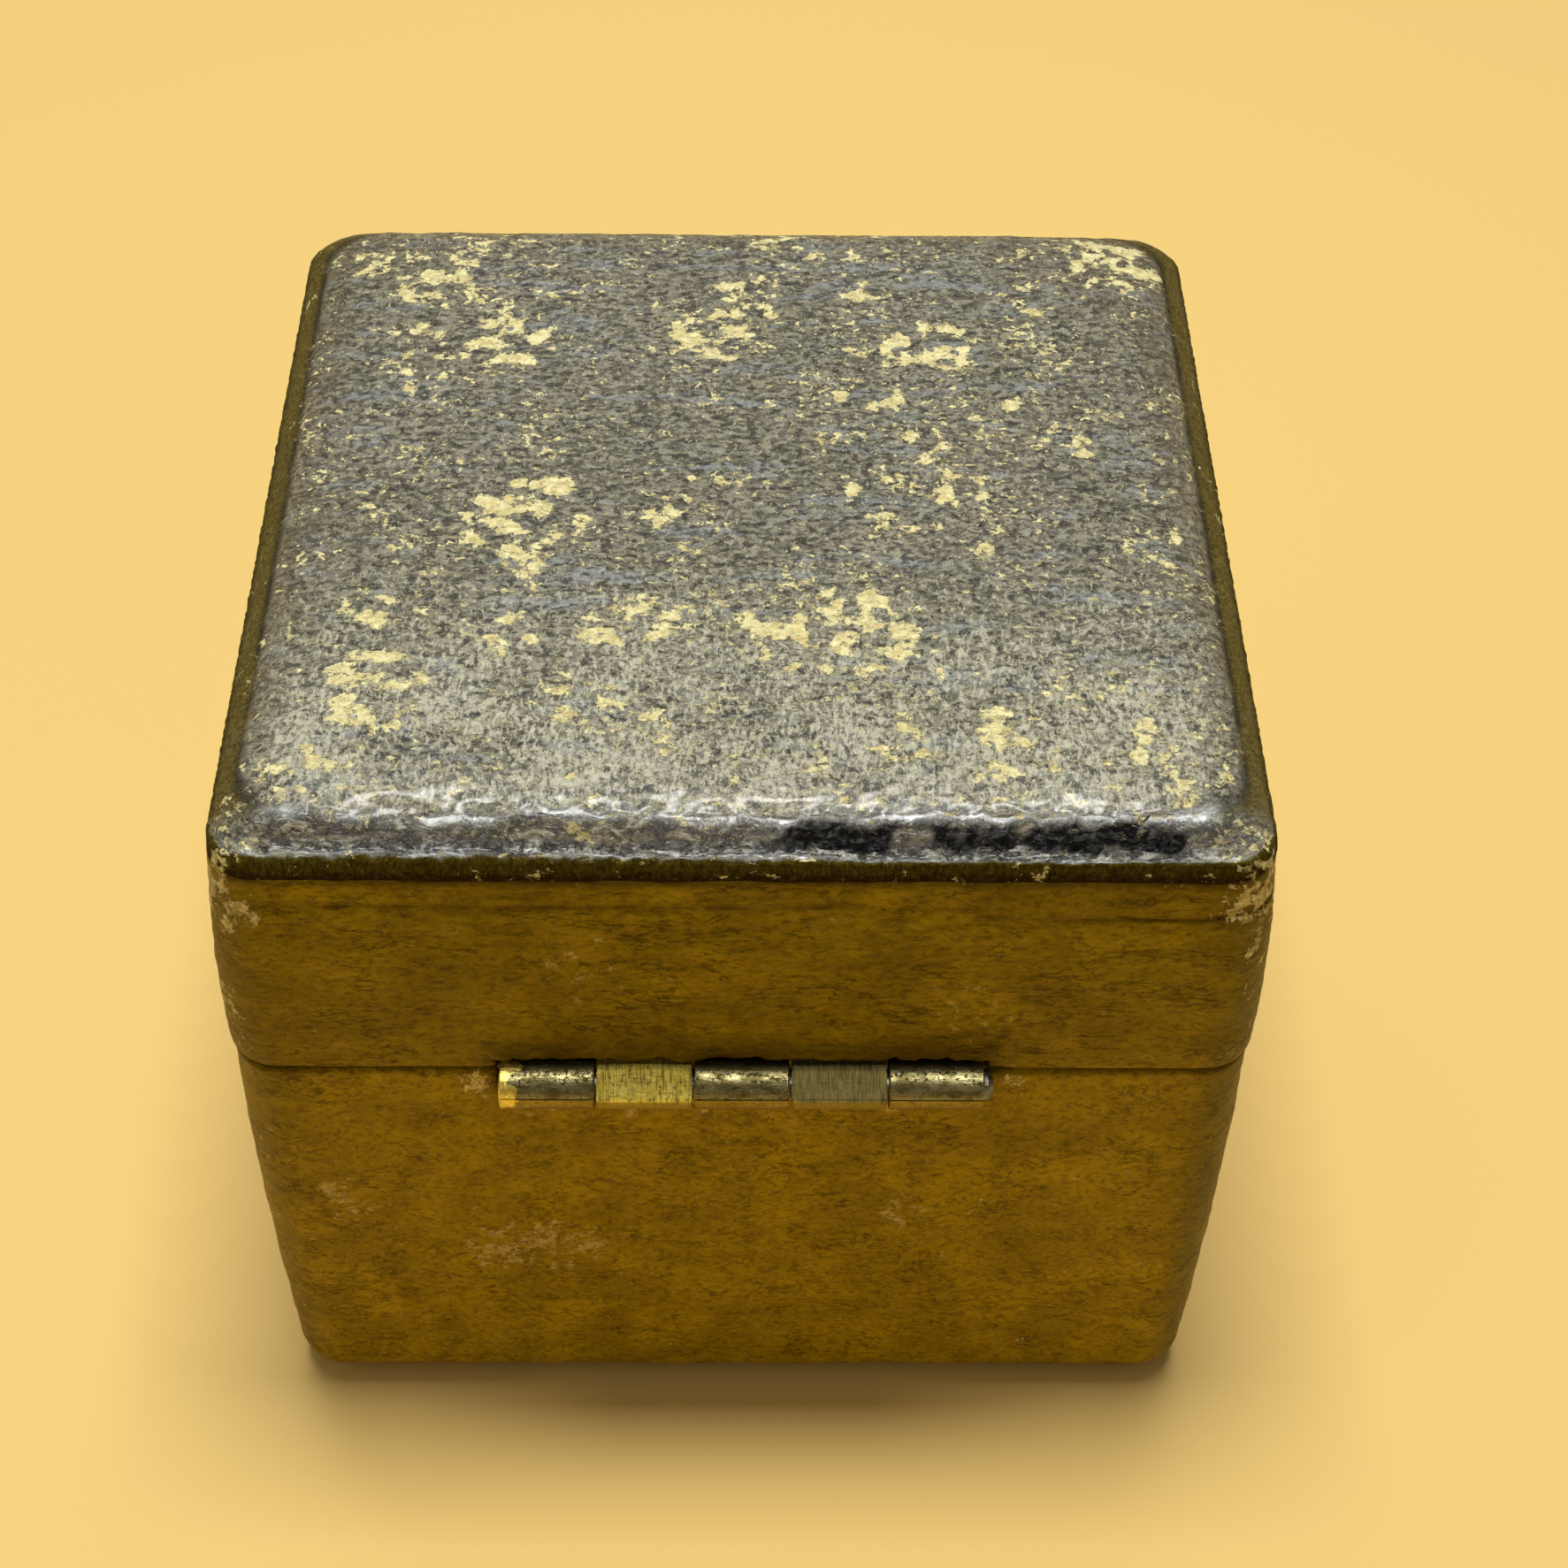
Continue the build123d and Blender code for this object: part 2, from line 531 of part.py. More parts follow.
    pieces = {
        "base_leather": base_leather,
        "base_bottom_board": bottom_board,
        "base_foot_panel": foot_panel,
        "nest_block": square_block(NEST_HALF, (BOTTOM_BOARD_TOP, NEST_FLOOR)),
        "nest_ring": nest_ring(),
        "hinge_base_leaf": base_leaf,
        "hinge_pin": hinge_pin(),
        "catch_plate": plate,
        "catch_spring": catch_spring(),
        "catch_spring_foot": spring_foot,
        "catch_spring_screws": screws,
        "button_ferrule": ferrule,
        "push_button": push_button(),
        "lid_top_leather": lid_leather & block((-FAR, FAR), (-FAR, FAR), (LEATHER_JOINT, FAR)),
        "lid_wall_leather": lid_leather & block((-FAR, FAR), (-FAR, FAR), (0, LEATHER_JOINT)),
        "lid_top_board": lid_top_board,
        "lid_wall_lining": lid_lining(),
        "lid_pad": lid_pad(),
        "hinge_lid_leaf": lid_leaf,
        "lid_hook": hook,
        "rosin_cake": rosin_cake(),
        "rosin_cloth": rosin_cloth(),
        **brads,
    }
    for side, wall in base_walls.items():
        pieces[f"base_{side}_board"] = wall
    for side, wall in lid_walls.items():
        pieces[f"lid_{side}_board"] = wall
    for side, strip in rim_strips().items():
        pieces[f"rim_{side}_strip"] = strip
    return pieces


def main():
    os.makedirs("parts", exist_ok=True)
    for name, piece in build().items():
        shape = Compound(children=piece) if isinstance(piece, list) else piece
        export_step(shape, f"parts/{name}.step")
    turn = BUTTON_TRAVEL / (BUTTON_HEIGHT - SPRING_BEND)
    print("hinge axis at y", AXIS_Y, "z", AXIS_Z)
    print("spring bends about y", BEND_Y, "z", SPRING_BEND, "by", round(turn, 5), "radians")


main()
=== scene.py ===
import json
import math

import bmesh
import bpy
import numpy as np
from mathutils import Matrix, Vector, noise


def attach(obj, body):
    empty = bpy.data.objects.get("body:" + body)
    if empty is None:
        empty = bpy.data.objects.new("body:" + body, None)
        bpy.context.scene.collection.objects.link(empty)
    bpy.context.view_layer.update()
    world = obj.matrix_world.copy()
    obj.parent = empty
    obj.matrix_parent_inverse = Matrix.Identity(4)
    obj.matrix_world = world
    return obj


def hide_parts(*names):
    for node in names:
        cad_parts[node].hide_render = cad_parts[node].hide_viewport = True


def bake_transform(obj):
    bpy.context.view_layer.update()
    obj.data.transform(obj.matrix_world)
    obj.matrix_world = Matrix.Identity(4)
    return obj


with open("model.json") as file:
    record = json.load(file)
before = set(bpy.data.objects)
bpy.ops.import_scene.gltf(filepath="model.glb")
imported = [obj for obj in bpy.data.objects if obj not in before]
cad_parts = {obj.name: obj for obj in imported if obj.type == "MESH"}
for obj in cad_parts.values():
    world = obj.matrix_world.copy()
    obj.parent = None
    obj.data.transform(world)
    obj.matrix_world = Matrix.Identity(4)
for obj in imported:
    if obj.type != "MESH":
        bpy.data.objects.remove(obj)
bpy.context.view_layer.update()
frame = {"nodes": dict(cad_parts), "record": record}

MM = 0.001
SEED = 7  # of every mesh noise
CAMERA_PLACE = (-0.04, 127.44, 150.13)
CAMERA_TARGET = (-2.47, 0.0, 24.28)
CAMERA_ROLL = 1.0  # degrees
LENS = 68.0  # on a sensor 36 wide
FLOOR_WIDTH = 6.0  # metres
FLOOR_COLOUR = (0.80, 0.565, 0.19)
ROOM_COLOUR = (0.95, 0.86, 0.66, 1)
ROOM_STRENGTH = 0.145


# ---------------------------------------------------------------- camera, floor and light


def make_camera():
    """Behind the case and above it, looking down on its hinge side."""
    place = Vector(CAMERA_PLACE) * MM
    target = Vector(CAMERA_TARGET) * MM
    roll = math.radians(CAMERA_ROLL)
    back = (place - target).normalized()
    right = Vector((0, 0, 1)).cross(back).normalized()
    up = back.cross(right)
    across = math.cos(roll) * right + math.sin(roll) * up
    upward = math.cos(roll) * up - math.sin(roll) * right
    data = bpy.data.cameras.new("camera")
    data.lens = LENS
    data.sensor_width = 36.0
    data.clip_start = 0.01
    camera = bpy.data.objects.new("camera", data)
    camera.matrix_world = Matrix.Translation(place) @ Matrix((across, upward, back)).transposed().to_4x4()
    bpy.context.scene.collection.objects.link(camera)
    bpy.context.scene.camera = camera


def make_floor():
    """A wide, flat, pale sheet."""
    bpy.ops.mesh.primitive_plane_add(size=FLOOR_WIDTH, location=(0, 0, 0))
    floor = bpy.context.object
    floor.name = "floor"
    graph = Graph("floor", roughness=0.6, specular=0.2)
    graph.colour(FLOOR_COLOUR)
    floor.data.materials.append(graph.material)


def area_light(name, place, target, size, power, colour):
    data = bpy.data.lights.new(name, "AREA")
    data.shape = "RECTANGLE"
    data.size, data.size_y = size
    data.energy = power
    data.color = colour
    light = bpy.data.objects.new(name, data)
    light.location = place
    light.rotation_euler = (Vector(target) - Vector(place)).to_track_quat("-Z", "Y").to_euler()
    bpy.context.scene.collection.objects.link(light)


def make_light():
    """A soft lamp overhead, a cooler window beyond the case, and a dim room."""
    area_light("overhead", (0.0, -0.03, 0.60), (0, 0, 0.03), (0.24, 0.16), 3.3, (1.0, 0.985, 0.96))
    area_light("beyond", (0.05, -0.42, 0.62), (0, 0, 0.03), (0.55, 0.22), 0.85, (0.84, 0.93, 1.0))
    area_light("side", (0.55, 0.15, 0.45), (0, 0, 0.02), (0.4, 0.4), 0.3, (1.0, 0.95, 0.88))
    area_light("front", (-0.35, 0.6, 0.5), (0, 0, 0.02), (0.5, 0.4), 0.42, (1.0, 0.93, 0.82))
    world = bpy.data.worlds.new("room")
    world.use_nodes = True
    background = world.node_tree.nodes["Background"]
    background.inputs["Color"].default_value = ROOM_COLOUR
    background.inputs["Strength"].default_value = ROOM_STRENGTH
    bpy.context.scene.world = world
    bpy.context.scene.view_settings.view_transform = "Standard"


# ---------------------------------------------------------------- material graphs


class Graph:
    """A material's node graph. Sockets are passed about as values, lengths are in millimetres."""

    def __init__(self, name, roughness=0.5, specular=0.5, metallic=0.0, sheen=0.0):
        self.material = bpy.data.materials.new(name)
        self.material.use_nodes = True
        self.tree = self.material.node_tree
        self.shader = self.tree.nodes["Principled BSDF"]
        self.set("Roughness", roughness)
        self.set("Specular IOR Level", specular)
        self.set("Metallic", metallic)
        self.set("Sheen Weight", sheen)
        where = self.node("TexCoord", {}, "Object")
        self.place = self.node("VectorMath", {0: where, "Scale": 1 / MM}, operation="SCALE")

    def link(self, value, socket):
        if isinstance(value, bpy.types.NodeSocket):
            self.tree.links.new(value, socket)
        elif isinstance(value, (tuple, list)) and len(value) == 3 and socket.type == "RGBA":
            socket.default_value = (*value, 1)
        else:
            socket.default_value = value

    def node(self, kind, inputs, output=0, **settings):
        """One output of a new node, whose inputs are linked or filled in; None leaves one alone."""
        node = self.tree.nodes.new("ShaderNode" + kind)
        for key, value in settings.items():
            setattr(node, key, value)
        for key, value in inputs.items():
            if value is not None:
                self.link(value, node.inputs[key])
        return node.outputs[output]

    def set(self, socket, value):
        """A number, colour or graph value for one of the shader's own sockets."""
        self.link(value, self.shader.inputs[socket])

    def colour(self, value):
        self.set("Base Color", value)

    def roughness(self, value):
        self.set("Roughness", value)

    def normal(self, value):
        self.set("Normal", value)

    def scaled(self, place, factors):
        """The place with each axis multiplied, to draw a pattern out along one way."""
        return self.node("VectorMath", {0: place, 1: factors}, operation="MULTIPLY")

    def shaken(self, place, amount, size):
        """The place pushed about by noise, so that patterns lose their straight edges."""
        push = self.node("TexNoise", {"Vector": place, "Scale": 1 / size}, "Color")
        push = self.node("VectorMath", {0: push, 1: (0.5, 0.5, 0.5)}, operation="SUBTRACT")
        push = self.node("VectorMath", {0: push, "Scale": amount}, operation="SCALE")
        return self.node("VectorMath", {0: place, 1: push}, operation="ADD")

    def noise(self, size, detail=3.0, rough=0.55, place=None, distortion=0.0):
        inputs = {"Vector": place or self.place, "Scale": 1 / size, "Detail": detail}
        return self.node("TexNoise", inputs | {"Roughness": rough, "Distortion": distortion}, "Fac")

    def cells(self, size, place):
        return self.node("TexVoronoi", {"Vector": place, "Scale": 1 / size}, "Distance")

    def bands(self, size, axis, place, distortion=0.0):
        inputs = {"Vector": place, "Scale": 0.314 / size, "Distortion": distortion}
        return self.node("TexWave", inputs, "Fac", bands_direction=axis)

    def math(self, operation, a, b=None):
        return self.node("Math", {0: a, 1: b}, operation=operation)

    def times(self, a, b):
        return self.math("MULTIPLY", a, b)

    def plus(self, a, b):
        return self.math("ADD", a, b)

    def minus(self, a, b):
        return self.math("SUBTRACT", a, b)

    def most(self, a, b):
        return self.math("MAXIMUM", a, b)

    def span(self, value, low, high, out_low=0.0, out_high=1.0, smooth=True):
        """Value mapped from low..high to out_low..out_high, and held at the ends."""
        inputs = {"Value": value, "From Min": low, "From Max": high, "To Min": out_low, "To Max": out_high}
        curve = "SMOOTHSTEP" if smooth else "LINEAR"
        return self.node("MapRange", inputs, "Result", interpolation_type=curve)

    def mix(self, share, a, b):
        """A colour between two others."""
        return self.node("Mix", {0: share, 6: a, 7: b}, 2, data_type="RGBA")

    def blend(self, share, a, b):
        """A number between two others."""
        return self.node("Mix", {0: share, 2: a, 3: b})

    def attribute(self, name):
        return self.node("Attribute", {}, "Fac", attribute_name=name)

    def axis(self, index):
        return self.node("SeparateXYZ", {0: self.place}, index)

    def bump(self, height, depth, under=None):
        """Height 0..1 made into a bump that is depth millimetres deep."""
        inputs = {"Strength": 1.0, "Distance": depth * MM, "Height": height, "Normal": under}
        return self.node("Bump", inputs, "Normal")


def top_leather_material():
    """Dark waxed leather, drawn out along X, with pits, bluish streaks of painted sheen, a painted highlight
    along the rear ledges, painted shade in the hollows and side grooves, painted light that pales the top
    towards its rear edge, and cream worn flakes.
    """
    g = Graph("lid_top_leather", specular=0.5)
    place = g.shaken(g.place, 0.5, 1.3)
    place = g.shaken(place, 0.22, 0.35)
    drawn = g.scaled(place, (0.6, 1.0, 1.0))
    grain = g.noise(0.33, 5.0, 0.7, drawn)
    tufts = g.noise(0.30, 4.0, 0.72, g.scaled(place, (1.2, 0.5, 0.8)))
    pits = g.span(g.noise(0.42, 4.0, 0.62, drawn), 0.40, 0.45)
    waves = g.noise(1.5, 5.0, 0.62, g.scaled(place, (0.22, 1.0, 1.0)), 0.5)
    painted_sheen = g.span(waves, 0.52, 0.64)
    broad = g.span(g.noise(7.0, 3.0, 0.5), 0.35, 0.65)
    fluff_and_painted_light = g.attribute("fluff_and_painted_light")
    turned = g.attribute("turned")
    waxed = g.attribute("waxed")
    lit = g.attribute("lit")

    tone = g.mix(broad, (0.175, 0.163, 0.100), (0.240, 0.212, 0.150))
    # painted light: the tone is made paler towards the top's rear edge, while the pale tufts there are
    # fibres
    tone = g.mix(g.times(fluff_and_painted_light, 0.55), tone, (0.46, 0.45, 0.32))
    crevice, raised = g.mix(0.6, tone, (0.030, 0.027, 0.018)), g.mix(0.45, tone, (0.52, 0.50, 0.36))
    tone = g.mix(g.span(grain, 0.42, 0.60), crevice, raised)
    # painted sheen: bluish grey streaks standing in for the cool lamp's reflection on the waxed top
    tone = g.mix(g.times(painted_sheen, g.span(grain, 0.35, 0.62, 0.20, 0.80)), tone, (0.31, 0.34, 0.35))
    tone = g.mix(pits, g.mix(0.7, tone, (0.012, 0.010, 0.010)), tone)
    pale = g.span(g.plus(tufts, g.times(fluff_and_painted_light, 0.12)), 0.575, 0.66)
    tone = g.mix(g.times(pale, g.span(fluff_and_painted_light, 0.0, 1.0, 0.5, 0.72)), tone, (0.74, 0.71, 0.53))
    tone = g.mix(g.attribute("margin"), tone, g.mix(0.45, tone, (0.120, 0.085, 0.018)))
    shelf = g.attribute("shelf")
    crumpled = g.noise(0.85, 6.0, 0.68, g.scaled(place, (0.55, 1.0, 1.0)), 0.8)
    crack = g.span(g.math("ABSOLUTE", g.minus(crumpled, 0.47)), 0.012, 0.045)
    tone = g.mix(g.times(shelf, g.minus(1.0, crack)), tone, (0.022, 0.022, 0.026))
    tone = g.mix(g.times(shelf, g.span(crumpled, 0.56, 0.62)), tone, (0.58, 0.58, 0.52))
    # painted highlight: pale silver along the pillow's rear edge and along the crest
    tone = g.mix(g.times(lit, 0.9), tone, (0.86, 0.90, 0.89))
    # painted shade: near black in the hollows under the pillow's overhanging edge
    deep = g.mix(g.span(grain, 0.46, 0.60), (0.004, 0.004, 0.005), (0.110, 0.115, 0.125))
    hollow = g.attribute("hollow")
    tone = g.mix(hollow, tone, deep)

    strands = g.noise(0.16, 4.0, 0.7, g.scaled(place, (1.0, 1.0, 0.3)))
    high = g.span(g.plus(g.axis(2), g.span(grain, 0.3, 0.7, -0.25, 0.25)), JOINT + 0.15, JOINT + 0.75)
    side = g.mix(high, (0.046, 0.017, 0.0003), (0.105, 0.076, 0.0030))
    side = g.mix(g.span(g.axis(2), JOINT + 1.3, JOINT + 1.8), side, (0.185, 0.135, 0.020))
    side = g.mix(g.span(strands, 0.42, 0.56), g.mix(0.6, side, (0.006, 0.004, 0.0)), side)
    side = g.mix(g.times(g.span(strands, 0.64, 0.70), 0.7), side, (0.45, 0.38, 0.15))
    tone = g.mix(turned, tone, side)
    # painted shade along the groove inside the left and right margins
    tone = g.mix(g.attribute("groove"), tone, (0.020, 0.017, 0.010))

    torn = g.shaken(g.scaled(g.place, (0.85, 1.0, 1.0)), 0.6, 0.5)
    scraps = g.noise(0.95, 6.0, 0.72, torn, 0.3)
    limit = g.span(g.attribute("worn"), 0.0, 1.0, 0.78, 0.415, smooth=False)
    flakes = g.span(g.minus(scraps, limit), 0.0, 0.03)
    specks = g.plus(g.noise(0.42, 3.0, 0.6, torn), g.times(g.noise(3.6, 3.0, 0.6), 0.50))
    specks = g.plus(specks, g.times(g.attribute("worn"), 0.03))
    bare = g.minus(1.0, g.most(g.most(turned, shelf), g.times(fluff_and_painted_light, 0.7)))
    specks = g.times(g.span(specks, 0.900, 0.922), bare)
    flakes = g.most(flakes, specks)
    stain = g.noise(0.5, 4.0, 0.7)
    cream = g.mix(g.span(stain, 0.36, 0.62), (0.72, 0.60, 0.25), (0.97, 0.89, 0.47))
    g.colour(g.mix(flakes, tone, cream))

    gloss = g.plus(g.span(grain, 0.35, 0.65, 0.20, -0.04), g.span(waves, 0.40, 0.66, 0.32, 0.22))
    gloss = g.plus(gloss, g.times(turned, 0.25))
    gloss = g.minus(gloss, g.times(waxed, 0.10))
    g.roughness(g.most(gloss, g.times(flakes, 0.85)))
    shine = g.plus(0.75, g.times(waxed, 0.6))
    g.set("Specular IOR Level", g.blend(hollow, g.blend(turned, shine, 0.06), 0.12))
    coat = g.most(g.times(waxed, 0.5), lit)
    g.set("Coat Weight", g.blend(hollow, coat, 0.0))
    g.set("Coat Roughness", 0.20)
    relief = g.plus(grain, g.times(pits, 0.25))
    relief = g.plus(relief, g.times(tufts, 0.6))
    calm = g.span(lit, 0.0, 1.0, 1.0, 0.45)
    normal = g.bump(g.times(waves, calm), 0.34)
    normal = g.bump(g.times(relief, calm), 0.26, normal)
    normal = g.bump(g.times(strands, turned), 0.10, normal)
    normal = g.bump(g.times(g.plus(crumpled, crack), shelf), 0.16, normal)
    g.normal(g.bump(g.minus(1.0, flakes), 0.05, normal))
    return g.material


def wall_leather_material(name, crease):
    """Olive-brown leather, creased sideways on the lid and pebbled on the base."""
    g = Graph(name, specular=0.22)
    g.set("Specular Tint", (1.0, 0.72, 0.12))
    place = g.shaken(g.shaken(g.place, 0.6, 1.5), 0.2, 0.35)
    drawn = g.scaled(place, (0.45, 0.45, 1.0) if crease else (0.65, 0.65, 1.0))
    grain = g.noise(0.26, 6.0, 0.72, drawn)
    fine = g.noise(0.13, 3.0, 0.7, place)
    long = g.scaled(place, (0.24, 0.24, 1.0) if crease else (0.5, 0.5, 1.0))
    folds = g.noise(0.95, 5.0, 0.62, long, 0.4)
    fold_line = g.span(g.math("ABSOLUTE", g.minus(folds, 0.5)), 0.0, 0.020)
    patchy = g.span(g.noise(1.3, 3.0, 0.5, g.scaled(g.place, (0.5, 0.5, 1.0))), 0.42, 0.56)
    fold_line = g.most(fold_line, patchy)
    blotches = g.noise(4.5, 4.0, 0.6)
    glow = g.noise(1.7, 4.0, 0.65, drawn)

    gain = 1.20 if crease else 1.48
    low_tone, high_tone = (0.235 * gain, 0.145 * gain, 0.0002), (0.340 * gain, 0.217 * gain, 0.0006)
    tone = g.mix(g.span(blotches, 0.35, 0.66), low_tone, high_tone)
    tone = g.mix(g.span(glow, 0.36, 0.62), g.mix(0.32 if crease else 0.18, tone, (0.12, 0.062, 0.0)), tone)
    tone = g.mix(g.span(grain, 0.36, 0.54), g.mix(0.58, tone, (0.070, 0.036, 0.0)), tone)
    tone = g.mix(g.span(grain, 0.56, 0.70), tone, g.mix(0.30, tone, (0.62, 0.43, 0.06)))
    tone = g.mix(g.span(fine, 0.55, 0.72), tone, g.mix(0.25, tone, (0.60, 0.40, 0.02)))
    tone = g.mix(fold_line, g.mix(0.60 if crease else 0.35, tone, (0.035, 0.015, 0.0)), tone)
    dirt = g.times(g.attribute("dirt"), g.span(glow, 0.3, 0.7, 1.0, 0.72))
    tone = g.mix(dirt, tone, (0.034, 0.017, 0.0008))
    tone = g.mix(g.attribute("green"), tone, (0.050, 0.050, 0.0020))
    scuffs = g.plus(g.noise(0.8, 5.0, 0.72), g.times(g.attribute("scuff"), 0.17))
    tone = g.mix(g.times(g.span(scuffs, 0.64, 0.74), 0.75), tone, (0.68, 0.48, 0.17))

    ragged = g.shaken(g.place, 0.5, 0.4)
    scraps = g.noise(0.75, 6.0, 0.72, ragged, 0.3)
    limit = g.span(g.attribute("worn"), 0.0, 1.0, 0.80, 0.45, smooth=False)
    flakes = g.span(g.minus(scraps, limit), 0.0, 0.035)
    tear = g.noise(0.55, 6.0, 0.75, ragged)
    torn = g.span(g.minus(tear, g.span(g.attribute("torn"), 0, 1, 0.85, 0.36)), 0, 0.03)
    cream = g.mix(g.span(g.noise(0.35, 3.0, 0.7), 0.4, 0.62), (0.50, 0.36, 0.12), (0.84, 0.70, 0.33))
    tone = g.mix(flakes, tone, cream)
    g.colour(g.mix(torn, tone, g.mix(g.span(fine, 0.36, 0.52), (0.42, 0.25, 0.030), (0.86, 0.65, 0.24))))

    g.roughness(g.span(g.plus(fine, flakes), 0.3, 1.4, 0.44, 0.85))
    normal = g.bump(folds, 0.26 if crease else 0.10)
    normal = g.bump(g.plus(grain, g.times(fine, 0.25)), 0.15, normal)
    normal = g.bump(fold_line, 0.05, normal)
    g.normal(g.bump(g.minus(1.0, g.most(flakes, torn)), 0.06, normal))
    return g.material


def wood_material():
    g = Graph("wood", roughness=0.65, specular=0.3)
    along = g.shaken(g.scaled(g.place, (0.25, 1.0, 1.0)), 0.6, 4.0)
    rings = g.bands(0.9, "Z", along, 3.0)
    fibres = g.noise(0.25, 4.0, 0.6, g.scaled(g.place, (0.06, 1.0, 1.0)))
    tone = g.mix(rings, (0.44, 0.29, 0.15), (0.58, 0.42, 0.25))
    g.colour(g.mix(g.span(fibres, 0.35, 0.65), g.mix(0.5, tone, (0.25, 0.15, 0.07)), tone))
    g.normal(g.bump(fibres, 0.05))
    return g.material


def cloth_material(name, dark, light, thread, sheen=0.3):
    """Plain weave: threads over and under in both directions."""
    g = Graph(name, roughness=0.6, specular=0.25, sheen=sheen)
    bent = g.shaken(g.place, 0.06, 0.8)
    over = g.bands(thread, "X", bent)
    under = g.bands(thread, "Y", bent)
    upright = g.bands(thread, "Z", bent)
    weave = g.times(g.plus(over, under), g.plus(upright, 0.5))
    faded = g.noise(6.0, 4.0, 0.6)
    tone = g.mix(g.span(faded, 0.35, 0.65), dark, light)
    g.colour(g.mix(g.span(weave, 0.2, 1.6), g.mix(0.35, tone, (0.0, 0.0, 0.0)), tone))
    g.normal(g.bump(weave, 0.05))
    return g.material


def velvet_material():
    g = Graph("velvet", roughness=0.85, specular=0.15, sheen=1.0)
    g.set("Sheen Roughness", 0.35)
    g.set("Sheen Tint", (0.9, 0.35, 0.35))
    pile = g.noise(0.12, 3.0, 0.7)
    crushed = g.noise(3.0, 4.0, 0.6, distortion=0.8)
    tone = g.mix(g.span(crushed, 0.38, 0.62), (0.085, 0.006, 0.012), (0.21, 0.022, 0.034))
    g.colour(g.mix(g.span(pile, 0.3, 0.7), g.mix(0.4, tone, (0.01, 0.0, 0.0)), tone))
    g.normal(g.bump(g.plus(pile, g.times(crushed, 0.8)), 0.10))
    return g.material


def metal_material(name, bright, dull, dark, roughness, metallic=1.0):
    """Metal with dark patina in blotches and fine scratches."""
    g = Graph(name, metallic=metallic, specular=0.5)
    blotches = g.noise(0.7, 5.0, 0.7, g.shaken(g.scaled(g.place, (0.6, 1.0, 1.0)), 0.4, 0.6))
    scratches = g.noise(0.10, 3.0, 0.7, g.scaled(g.place, (0.12, 1.0, 1.0)))
    pits = g.span(g.noise(0.22, 4.0, 0.75), 0.36, 0.46)
    tone = g.mix(g.span(blotches, 0.40, 0.60), dull, bright)
    tone = g.mix(g.span(scratches, 0.32, 0.48), g.mix(0.5, tone, dark), tone)
    tone = g.mix(pits, g.mix(0.75, tone, dark), tone)
    g.colour(tone)
    g.roughness(g.span(blotches, 0.3, 0.7, roughness + 0.16, roughness))
    normal = g.bump(scratches, 0.02)
    g.normal(g.bump(pits, 0.02, normal))
    return g, tone


def hinge_base_material():
    """The rolled knuckles: dark brown patina, rubbed bright at the +X end, with a painted reflection of the
    warm leather and floor on their lower half and a painted highlight along their lower edge.
    """
    patina = (0.34, 0.30, 0.145), (0.150, 0.125, 0.045), (0.030, 0.022, 0.008)
    g, tone = metal_material("hinge_brass", *patina, 0.31)
    # painted reflection: the warm brown of the leather and floor below, on the knuckles' lower half
    painted_reflection = g.span(g.axis(2), 29.55, 29.70, 1.0, 0.0)
    tone = g.mix(g.times(painted_reflection, 0.75), tone, (0.30, 0.205, 0.014))
    # painted highlight: a pale gold line along the knuckles' lower edge
    edge = g.span(g.axis(2), 28.30, 28.42, 1.0, 0.0)
    tone = g.mix(g.times(edge, 0.7), tone, (0.85, 0.66, 0.25))
    rubbed = g.plus(g.noise(0.9, 4.0, 0.7), g.span(g.axis(0), 10.6, 12.4, 0.0, 0.32))
    g.colour(g.mix(g.span(rubbed, 0.70, 0.80), tone, (0.92, 0.72, 0.16)))
    return g.material


def hinge_lid_material():
    """The filed knuckles: marks across them, the +X one bright and the -X one dull, and a painted reflection
    on their lower half.
    """
    filed = (1.0, 0.84, 0.16), (0.78, 0.60, 0.09), (0.10, 0.065, 0.015)
    g, tone = metal_material("filed_brass", *filed, 0.42, 0.7)
    dull = g.span(g.axis(0), -1.0, 1.0, 0.80, 0.0)
    tone = g.mix(dull, tone, (0.20, 0.175, 0.085))
    marks = g.noise(0.09, 4.0, 0.8, g.scaled(g.place, (1.0, 0.06, 0.06)))
    tone = g.mix(g.span(marks, 0.40, 0.54), g.mix(0.72, tone, (0.07, 0.045, 0.01)), tone)
    shine = g.span(g.noise(0.5, 4.0, 0.7, g.scaled(g.place, (1.0, 0.3, 0.3))), 0.55, 0.68)
    lively = g.span(g.axis(0), -1.0, 1.0, 0.15, 0.6)
    tone = g.mix(g.times(shine, lively), tone, (1.0, 0.86, 0.25))
    # painted reflection: the warm brown of the leather and floor below, on the knuckles' lower half
    painted_reflection = g.span(g.axis(2), 29.40, 29.55, 0.85, 0.0)
    g.colour(g.mix(painted_reflection, tone, (0.30, 0.205, 0.014)))
    g.normal(g.bump(marks, 0.035))
    return g.material


